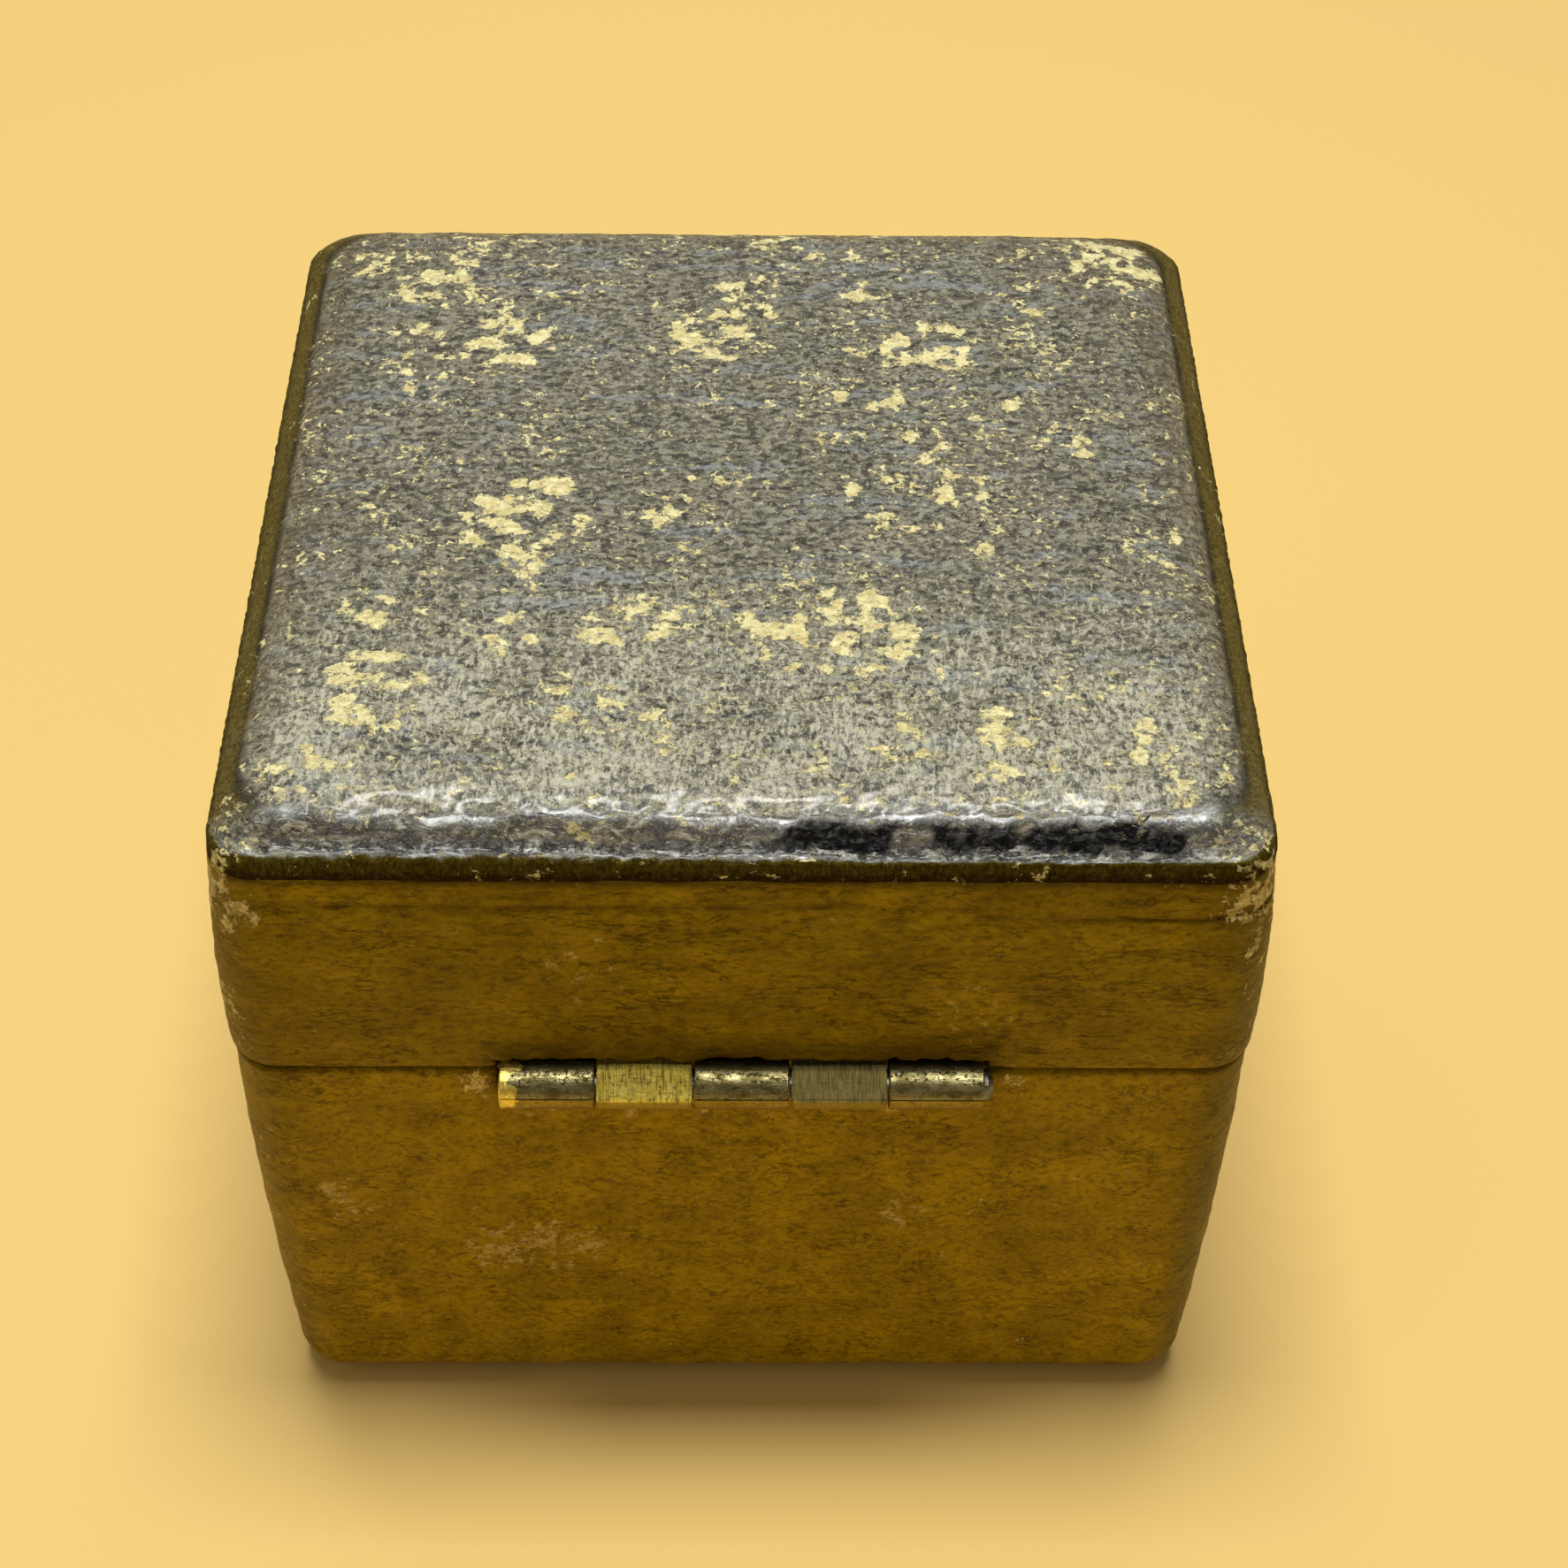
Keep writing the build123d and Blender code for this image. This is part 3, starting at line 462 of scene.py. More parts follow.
def rosin_material():
    """Amber resin: clear and glossy inside the mould's face, dusty and scratched on top."""
    g = Graph("rosin", specular=0.5)
    g.set("IOR", 1.53)
    g.set("Subsurface Weight", 0.55)
    g.set("Subsurface Radius", (3.2 * MM, 1.1 * MM, 0.25 * MM))
    g.set("Subsurface Scale", 1.0)
    g.set("Coat Weight", 0.4)
    depth = g.noise(5.0, 4.0, 0.6)
    tone = g.mix(g.span(depth, 0.35, 0.65), (0.30, 0.075, 0.010), (0.52, 0.18, 0.026))
    dust = g.plus(g.attribute("rubbed"), g.times(g.noise(0.35, 5.0, 0.7), 0.45))
    dust = g.span(dust, 0.45, 1.0)
    g.colour(g.mix(g.times(dust, 0.8), tone, (0.86, 0.74, 0.52)))
    g.roughness(g.span(dust, 0.0, 1.0, 0.14, 0.75))
    lines = g.noise(0.10, 3.0, 0.7, g.scaled(g.place, (0.04, 1.0, 1.0)))
    chips = g.cells(1.8, g.shaken(g.place, 0.6, 1.0))
    normal = g.bump(g.times(lines, dust), 0.06)
    g.normal(g.bump(g.span(chips, 0.0, 0.25), 0.03, normal))
    return g.material


def paper_material():
    g = Graph("foot_panel", roughness=0.8, specular=0.2)
    fibres = g.noise(0.3, 5.0, 0.7, g.scaled(g.place, (0.4, 1.0, 1.0)))
    rubbed = g.noise(5.0, 4.0, 0.6)
    tone = g.mix(g.span(rubbed, 0.4, 0.7), (0.045, 0.030, 0.022), (0.12, 0.085, 0.055))
    g.colour(g.mix(g.span(fibres, 0.4, 0.7), tone, (0.16, 0.11, 0.07)))
    g.normal(g.bump(fibres, 0.05))
    return g.material


# ---------------------------------------------------------------- mesh tools


def new_piece(name, points, faces, body, material):
    mesh = bpy.data.meshes.new(name)
    mesh.from_pydata([tuple(p) for p in points], [], faces)
    mesh.validate()
    mesh.materials.append(material)
    mesh.polygons.foreach_set("use_smooth", [True] * len(mesh.polygons))
    piece = bpy.data.objects.new(name, mesh)
    bpy.context.scene.collection.objects.link(piece)
    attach(piece, body)
    return piece


def add_attributes(piece, **layers):
    """Numbers for each point of a piece, which its material reads by name."""
    for name, values in layers.items():
        layer = piece.data.attributes.new(name, "FLOAT", "POINT")
        layer.data.foreach_set("value", np.asarray(values, dtype=np.float32))


def ramp(low, high, value):
    """0 below low and 1 above high, or the other way round where low is the higher, with a smooth rise."""
    t = np.clip((value - low) / (high - low), 0, 1)
    return t * t * (3 - 2 * t)


def rough_noise(points, size, octaves=3, offset=0.0, stretch=(1.0, 1.0, 1.0)):
    """Smooth noise from about -1 to 1 at each point (N x 3, metres); size in millimetres."""
    scaled = np.asarray(points) / (np.array(stretch) * size * MM) + (offset, SEED + offset, -offset)
    return np.array([noise.fractal(p, 1.0, 2.0, octaves) for p in scaled.tolist()])


def spots(points, centres):
    """How strongly each point is marked, by round fading spots (x, y, z, radius, strength) in mm."""
    marked = np.zeros(len(points))
    for x, y, z, radius, strength in centres:
        far = np.linalg.norm(points - np.array((x, y, z)) * MM, axis=1) / (radius * MM)
        marked = np.maximum(marked, strength * np.clip(1.25 - far**2, 0, 1))
    return marked


def side_steps(breaks, spacing):
    """Positions -1..1 along a straight side, with a grid line at each break."""
    steps = []
    for low, high in zip([-1.0, *breaks], [*breaks, 1.0]):
        count = max(1, round((high - low) / spacing))
        steps += list(np.linspace(low, high, count, endpoint=False))
    return steps


STRAIGHT = 24.2  # half length of a straight side that the columns' places are worked out for


class Ring:
    """Columns round a rounded square. The sides are rear, right, front, left, in that order."""

    FLAT = STRAIGHT * MM

    def __init__(self, sides, corner_count):
        columns = []
        for side, steps in enumerate(sides):
            columns += [(side, step, 0.0) for step in steps]
            arc = np.linspace(0, math.pi / 2, corner_count, endpoint=False)
            columns += [(side, 1.0, angle) for angle in arc]
        self.side, self.along, self.arc = (np.array(c) for c in zip(*columns))
        self.count = len(columns)

    def points(self, half, radius):
        flat = half - radius
        kept = self.along * (self.FLAT - flat) * (1 - ramp(0.55, 1.0, np.abs(self.along)))
        x = self.along * flat + kept + radius * np.sin(self.arc)
        y = flat + radius * np.cos(self.arc)
        angle = -self.side * math.pi / 2
        return x * np.cos(angle) - y * np.sin(angle), x * np.sin(angle) + y * np.cos(angle)

    def column(self, side, x):
        """The column at x millimetres along a side, in the direction the columns run."""
        far = np.abs(self.along * self.FLAT / MM - x) + 100 * (self.side != side) + 100 * (self.arc > 0)
        return int(np.argmin(far))


class Section:
    """The closed cross-section of a wall, as (half width, z) in millimetres, with named places."""

    def __init__(self, start):
        self.path = [tuple(start)]
        self.names = {}

    def line(self, end, spacing, name=None):
        start, end = np.array(self.path[-1]), np.array(end)
        count = max(1, round(np.linalg.norm(end - start) / spacing))
        self.path += [tuple(start + (end - start) * (i + 1) / count) for i in range(count)]
        return self.named(name)

    def arc(self, centre, radius, first, last, count):
        for angle in np.radians(np.linspace(first, last, count)):
            self.path.append((centre[0] + radius * math.cos(angle), centre[1] + radius * math.sin(angle)))
        return self

    def wall(self, half_of, last, inset, spacing, name=None):
        """Up or down a bowed wall from here to the height last."""
        start = self.path[-1][1]
        count = max(1, round(abs(last - start) / spacing))
        for z in np.linspace(start, last, count + 1)[1:]:
            self.path.append((half_of(z) - inset, z))
        return self.named(name)

    def named(self, name):
        if name:
            self.names[name] = len(self.path) - 1
        return self


def loft(ring, section, half_of, corner):
    """Points of a ring at each place of a section, as points (metres) and a grid of their numbers."""
    rows = []
    for half, z in section.path:
        radius = max(0.05, corner - (half_of(z) - half))
        x, y = ring.points(half * MM, radius * MM)
        rows.append(np.stack([x, y, np.full(ring.count, z * MM)], axis=1))
    points = np.concatenate(rows)
    return points, np.arange(len(points)).reshape(len(rows), ring.count)


def loft_faces(grid, holes=()):
    """Quads between the rows, left out in each hole, whose cut sides are closed with faces.

    A hole is (first column, last column, a, b, c, d): rows a to b and rows c to d are missing,
    and they face each other through the leather."""
    rows, columns = grid.shape
    absent = np.zeros((rows, columns), dtype=bool)
    faces = []
    for first, last, a, b, c, d in holes:
        absent[a:b, first:last] = True
        absent[c:d, first:last] = True
        for one, two in ((a, d),) if b == c else ((a, d), (c, b)):
            for column in range(first, last):
                faces.append(
                    (grid[one, column], grid[one, column + 1], grid[two, column + 1], grid[two, column])
                )
        skip = c + 1 if b == c else c
        for column in (first, last):
            faces.append((*grid[a : b + 1, column], *grid[skip : d + 1, column]))
    below, beside = np.roll(grid, -1, axis=0), np.roll(grid, -1, axis=1)
    corner = np.roll(below, -1, axis=1)
    quads = np.stack([grid, below, corner, beside], axis=2)[~absent]
    return faces + quads.tolist()


def outward(points, grid):
    """Unit normals of a closed loft whose outside rows run upwards."""
    shaped = points[grid]
    across = np.roll(shaped, -1, axis=1) - np.roll(shaped, 1, axis=1)
    along = np.roll(shaped, -1, axis=0) - np.roll(shaped, 1, axis=0)
    normal = np.cross(along, across).reshape(-1, 3)
    return normal / np.maximum(np.linalg.norm(normal, axis=1, keepdims=True), 1e-12)


def facing_out(piece):
    """Make every face of a closed piece face outwards."""
    work = bmesh.new()
    work.from_mesh(piece.data)
    bmesh.ops.recalc_face_normals(work, faces=work.faces)
    work.to_mesh(piece.data)
    work.free()


def bowed(low, high, bow):
    """Half width by height, for a wall that is a shallow upright arc between (half, z) ends."""

    def half(z):
        t = min(1.0, max(0.0, (z - low[1]) / (high[1] - low[1])))
        return low[0] + (high[0] - low[0]) * t + 4 * bow * t * (1 - t)

    return half


# ---------------------------------------------------------------- leather

LEATHER = 0.7
TURNED_EDGE = 0.4
CORNER = 2.8
FOOT_RADIUS = 2.4
FOOT_HALF, FOOT_TOP = 26.3, 2.6  # where the wall starts over the foot's rounding
BASE_HALF, BASE_EDGE = 27.0, 29.675
LID_HALF, LID_EDGE = 27.12, 29.925
JOINT = 43.9  # where the lid's top leather meets its wall leather
EDGE_ROUND = 0.35
base_half = bowed((FOOT_HALF, FOOT_TOP), (BASE_HALF, BASE_EDGE), 0.2)
lid_half = bowed((LID_HALF, LID_EDGE), (26.12, 49.1), 0.45)
HINGE_END = 12.95
CATCH_END = 9.0
PLATE_ROWS = (23.4, 26.0)  # the catch plates' depth, as half widths
BUTTON_Z = 22.4
BUTTON_HOLE = 2.64


def wall_ring(spacing, front, corner_count):
    """Columns round a wall, with lines at the hinge's ends and at the given places in front, in mm."""
    breaks = ((-HINGE_END, HINGE_END), (), front, ())
    sides = [side_steps([x / STRAIGHT for x in places], spacing / STRAIGHT) for places in breaks]
    return Ring(sides, corner_count)


def by_row(chosen, grid):
    """1 at each point whose row is chosen, and 0 at the others."""
    return np.broadcast_to(chosen[:, None], grid.shape).reshape(-1).astype(float)


def columns_of(ring, side, end):
    """The columns at -end and end along a side."""
    return ring.column(side, -end), ring.column(side, end)


def base_leather():
    """The base's covering: foot, walls, and the edge turned in over the boards."""
    ring = wall_ring(0.34, (-CATCH_END, -BUTTON_HOLE, BUTTON_HOLE, CATCH_END), 12)
    section = Section((23.4, 0.2)).line((23.8, 0.2), 0.2)
    section.arc((23.9, FOOT_TOP), FOOT_RADIUS, -88, -3, 11)
    section.wall(base_half, BUTTON_Z - BUTTON_HOLE, 0, 0.27, "button low")
    section.wall(base_half, BUTTON_Z + BUTTON_HOLE, 0, 0.27, "button high")
    section.wall(base_half, 28.15, 0, 0.27, "hinge low")
    section.wall(base_half, BASE_EDGE - EDGE_ROUND, 0, 0.2)
    section.arc((BASE_HALF - EDGE_ROUND, BASE_EDGE - EDGE_ROUND), EDGE_ROUND, 10, 80, 4)
    section.line((PLATE_ROWS[1], BASE_EDGE), 0.4, "plate out")
    section.line((PLATE_ROWS[0], BASE_EDGE), 0.5, "plate in")
    section.line((22.8, BASE_EDGE), 0.3).line((22.8, BASE_EDGE - TURNED_EDGE), 0.2)
    section.line((PLATE_ROWS[0], BASE_EDGE - TURNED_EDGE), 0.6, "under in")
    section.line((PLATE_ROWS[1], BASE_EDGE - TURNED_EDGE), 0.9, "under out")
    section.line((26.3, BASE_EDGE - TURNED_EDGE), 0.3)
    section.wall(base_half, 29.05, LEATHER, 0.3, "hinge inside")
    section.wall(base_half, BUTTON_Z + BUTTON_HOLE, LEATHER, 2.0, "inside high")
    section.wall(base_half, BUTTON_Z - BUTTON_HOLE, LEATHER, 2.7, "inside low")
    section.wall(base_half, FOOT_TOP, LEATHER, 3.4)
    section.arc((23.9, FOOT_TOP), FOOT_RADIUS - LEATHER, -15, -88, 5).line((23.4, 0.9), 0.5)
    row = section.names
    points, grid = loft(ring, section, base_half, CORNER)

    back, plate = columns_of(ring, 0, HINGE_END), columns_of(ring, 2, CATCH_END)
    hole = columns_of(ring, 2, BUTTON_HOLE)
    holes = (
        (*back, row["hinge low"], row["plate in"], row["under in"], row["hinge inside"]),
        (*plate, row["plate out"], row["plate in"], row["under in"], row["under out"]),
        (*hole, row["button low"], row["button high"], row["inside high"], row["inside low"]),
    )
    faces = loft_faces(grid, holes)

    x, y, z = points.T / MM
    place = np.stack([x, z - BUTTON_Z], axis=1)
    square, round_ = np.abs(place).max(axis=1), np.linalg.norm(place, axis=1)
    share = ramp(BUTTON_HOLE, 5.5, square)
    scale = (square / np.maximum(round_, 1e-6)) * (1 - share) + share
    front = (y < -25) & (square < 5.5) & (square > 0.5)
    points[front, 0] *= scale[front]
    points[front, 2] = (BUTTON_Z + (z - BUTTON_Z) * scale)[front] * MM

    x, y, z = points.T / MM
    outer = by_row(np.arange(len(grid)) <= row["plate out"], grid)
    near_hinge = (y > 25) * ramp(14.5, 12.5, np.abs(x))
    ragged = rough_noise(points * (1, 1, 0), 1.3, 3, 3.0)
    points[:, 2] += outer * near_hinge * ramp(26.8, 28.1, z) * (ragged * 0.35 - 0.12) * MM

    bulge = 0.055 * rough_noise(points, 2.6, 3) + 0.028 * rough_noise(points, 0.75, 2, 9.0)
    bulge += 0.05 * near_hinge * rough_noise(points, 1.0, 3, 5.0, (1, 1, 0.4))
    away = np.where(y < -25, ramp(3.1, 4.2, np.hypot(x, z - BUTTON_Z)), 1.0)
    points += outward(points, grid) * (outer * bulge * away * ramp(0.0, 1.2, z))[:, None] * MM

    material = wall_leather_material("base_leather", crease=False)
    piece = new_piece("base_leather_cover", points, faces, "base", material)
    facing_out(piece)
    x, y, z = points.T / MM
    edge = ramp(23.6, 25.8, np.minimum(np.abs(x), np.abs(y)))
    foot = ramp(2.4, 0.6, z)
    rim = ramp(28.9, 29.6, z)
    streak = rough_noise(points, 3.5, 3, 2.0, (1, 1, 2.5))
    worn = np.maximum(edge * np.where(x < 0, 0.36 + 0.3 * streak, 0.50 + 0.3 * streak), foot * 0.55)
    worn = np.maximum(worn, rim * 0.42)
    worn = np.maximum(worn, near_hinge * ramp(27.3, 28.1, z) * 0.55)
    chips = ((-8.5, 26.8, 16.6, 0.8, 0.95), (-13.5, 26.8, 18.5, 0.7, 0.9), (-16.5, 26.4, 4.5, 0.6, 0.9),
             (12, 26.6, 14.6, 0.9, 0.8), (-21, 26.8, 21, 0.8, 0.8), (4, 26.6, 4.0, 0.6, 0.8))  # fmt: skip
    scuffs = ((10, 27, 14.5, 3, 1), (13, 27, 14, 3, 1), (-9, 27, 17.5, 2, 0.8), (22, 27, 18, 2.5, 0.9))
    pebbles = ramp(28.1, 27.3, z) * ramp(24.8, 26.3, z)
    pebbles *= (y > 25) * ramp(17.0, 9.0, np.abs(x - 2))
    pebbles *= np.clip(0.55 + 0.8 * rough_noise(points, 1.2, 3, 6.0, (2.0, 1, 1)), 0, 1)
    tears = ((14.1, 27, 28.7, 1.4, 0.74), (-14.4, 27, 28.9, 1.0, 0.66))
    # darker just under the hinge and along the rim, and over the leather's inner face
    dirt = np.maximum(near_hinge * ramp(27.6, 28.2, z) * 0.5, rim * 0.35)
    add_attributes(
        piece,
        worn=np.maximum(worn, spots(points, chips)),
        scuff=np.maximum(spots(points, scuffs), pebbles * 0.8),
        torn=spots(points, tears),
        dirt=np.maximum(dirt, np.where(outer > 0, 0.0, 0.9)),
        green=edge * outer * np.clip(0.55 + 0.3 * streak, 0, 1) * np.where(x < 0, 1.0, 0.35),
    )
    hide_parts("base_leather")


def lid_wall_leather():
    """The strip round the lid's walls, creased sideways and turned in at its lower edge."""
    ring = wall_ring(0.245, (-CATCH_END, CATCH_END), 16)
    inner_edge = lid_half(LID_EDGE + TURNED_EDGE) - LEATHER
    section = Section((lid_half(JOINT) - LEATHER, JOINT))
    section.wall(lid_half, 30.6, LEATHER, 2.2, "hinge inside")
    section.line((inner_edge, LID_EDGE + TURNED_EDGE), 0.3)
    section.line((PLATE_ROWS[1], LID_EDGE + TURNED_EDGE), 0.4, "over out")
    section.line((PLATE_ROWS[0], LID_EDGE + TURNED_EDGE), 0.9, "over in")
    section.line((23.3, LID_EDGE + TURNED_EDGE), 0.3).line((23.3, LID_EDGE), 0.2)
    section.line((PLATE_ROWS[0], LID_EDGE), 0.3, "plate in")
    section.line((PLATE_ROWS[1], LID_EDGE), 0.5, "plate out")
    section.line((LID_HALF - EDGE_ROUND, LID_EDGE), 0.4)
    section.arc((LID_HALF - EDGE_ROUND, LID_EDGE + EDGE_ROUND), EDGE_ROUND, -75, -5, 5)
    section.wall(lid_half, 30.75, 0, 0.2, "hinge high")
    section.wall(lid_half, JOINT, 0, 0.2)
    row = section.names
    points, grid = loft(ring, section, lid_half, CORNER)
    back, plate = columns_of(ring, 0, HINGE_END), columns_of(ring, 2, CATCH_END)
    holes = (
        (*back, row["hinge inside"], row["over in"], row["plate in"], row["hinge high"]),
        (*plate, row["over out"], row["over in"], row["plate in"], row["plate out"]),
    )
    faces = loft_faces(grid, holes)

    x, y, z = points.T / MM
    outer = by_row(np.arange(len(grid)) >= row["plate out"], grid)
    near_hinge = (y > 25) * ramp(14.3, 12.8, np.abs(x))
    ragged = rough_noise(points * (1, 1, 0), 1.1, 3, 13.0)
    points[:, 2] += outer * near_hinge * ramp(32.4, 30.9, z) * (ragged * 0.32 + 0.20) * MM

    creases = rough_noise(points, 1.0, 4, 20.0, (5.0, 5.0, 0.55))
    ridged = 1 - np.abs(rough_noise(points, 1.7, 3, 31.0, (4.0, 4.0, 0.7))) * 3
    high = ramp(34.0, 43.0, z)
    bulge = 0.07 * creases * (0.35 + 0.65 * high) + 0.05 * rough_noise(points, 3.2, 3, 8.0)
    bulge -= 0.07 * np.clip(ridged, 0, 1) ** 2 * high
    lip = near_hinge * ramp(33.2, 31.6, z)
    bulge += lip * (0.10 * rough_noise(points, 0.9, 4, 40.0) + 0.14 * ramp(33.0, 31.6, z))
    crack = np.exp(-(((z - 41.4 - 0.25 * rough_noise(points, 4, 2, 50.0)) / 0.14) ** 2))
    bulge -= 0.16 * crack * (y > 25) * ramp(-14.0, -18.0, x)
    line = np.exp(-(((z - 42.1 - 0.15 * rough_noise(points, 6, 2, 51.0)) / 0.16) ** 2))
    bulge -= 0.05 * line
    points += outward(points, grid) * (outer * bulge * ramp(29.95, 30.3, z))[:, None] * MM

    material = wall_leather_material("lid_wall_leather", crease=True)
    piece = new_piece("lid_wall_cover", points, faces, "lid", material)
    facing_out(piece)
    x, y, z = points.T / MM
    edge = ramp(23.4, 25.6, np.minimum(np.abs(x), np.abs(y)))
    rim = ramp(30.7, 30.1, z)
    streak = rough_noise(points, 3.0, 3, 2.0, (1, 1, 2.0))
    worn = np.maximum(edge * (0.58 + 0.4 * streak), rim * 0.35)
    corner = ((25.7, 25.4, 41.8, 3.0, 1.1), (-25.2, 25.2, 42.4, 3.2, 1.0), (-25.5, 25.5, 35, 2, 0.7))
    # darker where the lid's leather is lifted above the hinge, along the crack, the line and the joint, and
    # over the inner face
    dirt = np.maximum(lip * 0.62, crack * 0.8 * (y > 25) * ramp(-14.0, -18.0, x))
    dirt = np.maximum(dirt, line * ramp(-12.0, -4.0, x) * np.clip(0.5 + 0.9 * streak, 0, 0.8))
    dirt = np.maximum(dirt, ramp(43.2, 43.85, z) * 0.88)
    add_attributes(
        piece,
        worn=np.maximum(worn, spots(points, corner)),
        scuff=spots(points, ((8, 27, 38, 3, 0.5), (-12, 27, 35, 3, 0.5))),
        torn=spots(points, ((-14.2, 27, 30.2, 0.6, 0.5),)),
        dirt=np.maximum(dirt, np.where(outer > 0, 0.0, 0.9)),
        green=edge * outer * np.clip(0.45 + 0.3 * streak, 0, 1) * np.where(x < 0, 0.8, 0.3),
    )
    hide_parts("lid_wall_leather")


def square_rings(rings):
    """A square grid: each point's steps from the middle both ways, its ring's number, and the faces."""
    steps = np.arange(-rings, rings + 1)
    i, j = np.meshgrid(steps, steps, indexing="ij")
    number = np.maximum(np.abs(i), np.abs(j))
    quads = np.arange(i.size).reshape(i.shape)
    faces = np.stack([quads[:-1, :-1], quads[1:, :-1], quads[1:, 1:], quads[:-1, 1:]], axis=2)
    return i, j, number, quads, faces.reshape(-1, 4).tolist()


def rounded_place(i, j, number, half, radius):
    """Grid places moved on to rounded squares, one for each ring, of half widths and radii by ring."""
    h, r = half[number], radius[number]
    flat = h - r
    length = flat + r * math.pi / 4
    ahead = np.abs(j) >= np.abs(i)
    along = np.where(ahead, i, j) / np.maximum(number, 1)
    walked = np.abs(along) * length
    angle = np.clip((walked - flat) / np.maximum(r, 1e-9), 0, math.pi / 4)
    side = np.where(walked <= flat, walked, flat + r * np.sin(angle)) * np.sign(along)
    out = np.where(walked <= flat, h, flat + r * np.cos(angle))
    x = np.where(ahead, side, out * np.sign(i))
    y = np.where(ahead, out * np.sign(j), side)
    return x, y


DROP_ROWS = 12  # rows down the turned edge


def top_profile():
    """Rings of the lid's top from its middle to the joint: half width, height and corner radius.

    The first height is the rear side's, with a shelf and a crest; the second is the other sides'."""
    crown = np.linspace(0, 23.6, 101)
    rear = [(h, 47.93 - 0.30 * (h / 24) ** 2 - 0.38 * (h / 24) ** 8) for h in crown]
    rear += [(23.8, 47.27), (24.0, 47.23), (24.2, 47.18), (24.4, 47.12), (24.6, 47.05), (24.78, 46.98)]
    rear += [(24.95, 46.90), (25.1, 46.82), (25.22, 46.74), (25.33, 46.64), (25.43, 46.51), (25.52, 46.35)]
    rear += [(25.60, 46.16), (25.67, 45.94)]
    rear += [(25.75, 45.68), (25.85, 45.44), (25.96, 45.30), (26.08, 45.26), (26.2, 45.30), (26.31, 45.34)]
    rear += [(26.41, 45.32), (26.49, 45.25), (26.55, 45.15)]
    rear += [(lid_half(z), z) for z in np.linspace(45.03, JOINT, DROP_ROWS)]
    half, height = np.array(rear).T
    rolled = ((23.6, 47.30), (24.2, 47.12), (24.8, 46.88), (25.3, 46.55), (25.8, 46.1))
    rolled += ((26.2, 45.62), (26.5, 45.15))
    other = np.where(half <= 23.6, height, np.interp(half, *zip(*rolled)))
    other[-DROP_ROWS:] = np.linspace(45.0, JOINT, DROP_ROWS)
    radius = np.where(half < 25.9, 2.6 + 2.2 * ramp(25.9, 24.4, half), 2.6)
    return half, height, other, np.minimum(radius, half * 0.9)


def lined(points, grid, faces):
    """The outside closed with an inside, drawn more coarsely, about 1 mm under it and down to the joint."""
    coarse = 30
    ci, cj, cnumber, cgrid, cfaces = square_rings(coarse)
    under_half = np.concatenate([np.linspace(0, 24.0, coarse - 4), (24.8, 25.3, 25.7, 25.9, 26.01)])
    ceiling = (47.0, 46.8, 46.1, 45.4, 45.0, 44.6, 44.25)
    under_z = np.interp(under_half, (0, 15, 23, 24.8, 25.3, 25.7, 25.9), ceiling)
    under_z[-1] = JOINT
    under_radius = np.minimum(2.1, under_half * 0.9)
    ux, uy = rounded_place(ci, cj, cnumber, under_half, under_radius)
    under = np.stack([ux, uy, under_z[cnumber]], axis=2).reshape(-1, 3) * MM
    shift = len(points)
    faces += [tuple(reversed([n + shift for n in face])) for face in cfaces]

    def border(numbers):
        size = len(numbers) - 1
        loop = list(numbers[0, :size]) + list(numbers[:size, size])
        return loop + list(numbers[size, :0:-1]) + list(numbers[:0:-1, 0])

    outside, inside = border(grid), [n + shift for n in border(cgrid)]
    ratio = len(outside) / len(inside)
    cuts = [round(k * ratio) for k in range(len(inside) + 1)]
    for k in range(len(inside)):
        run = [outside[n % len(outside)] for n in range(cuts[k], cuts[k + 1] + 1)]
        faces.append((*run, inside[(k + 1) % len(inside)], inside[k]))
    return np.concatenate([points, under]), faces


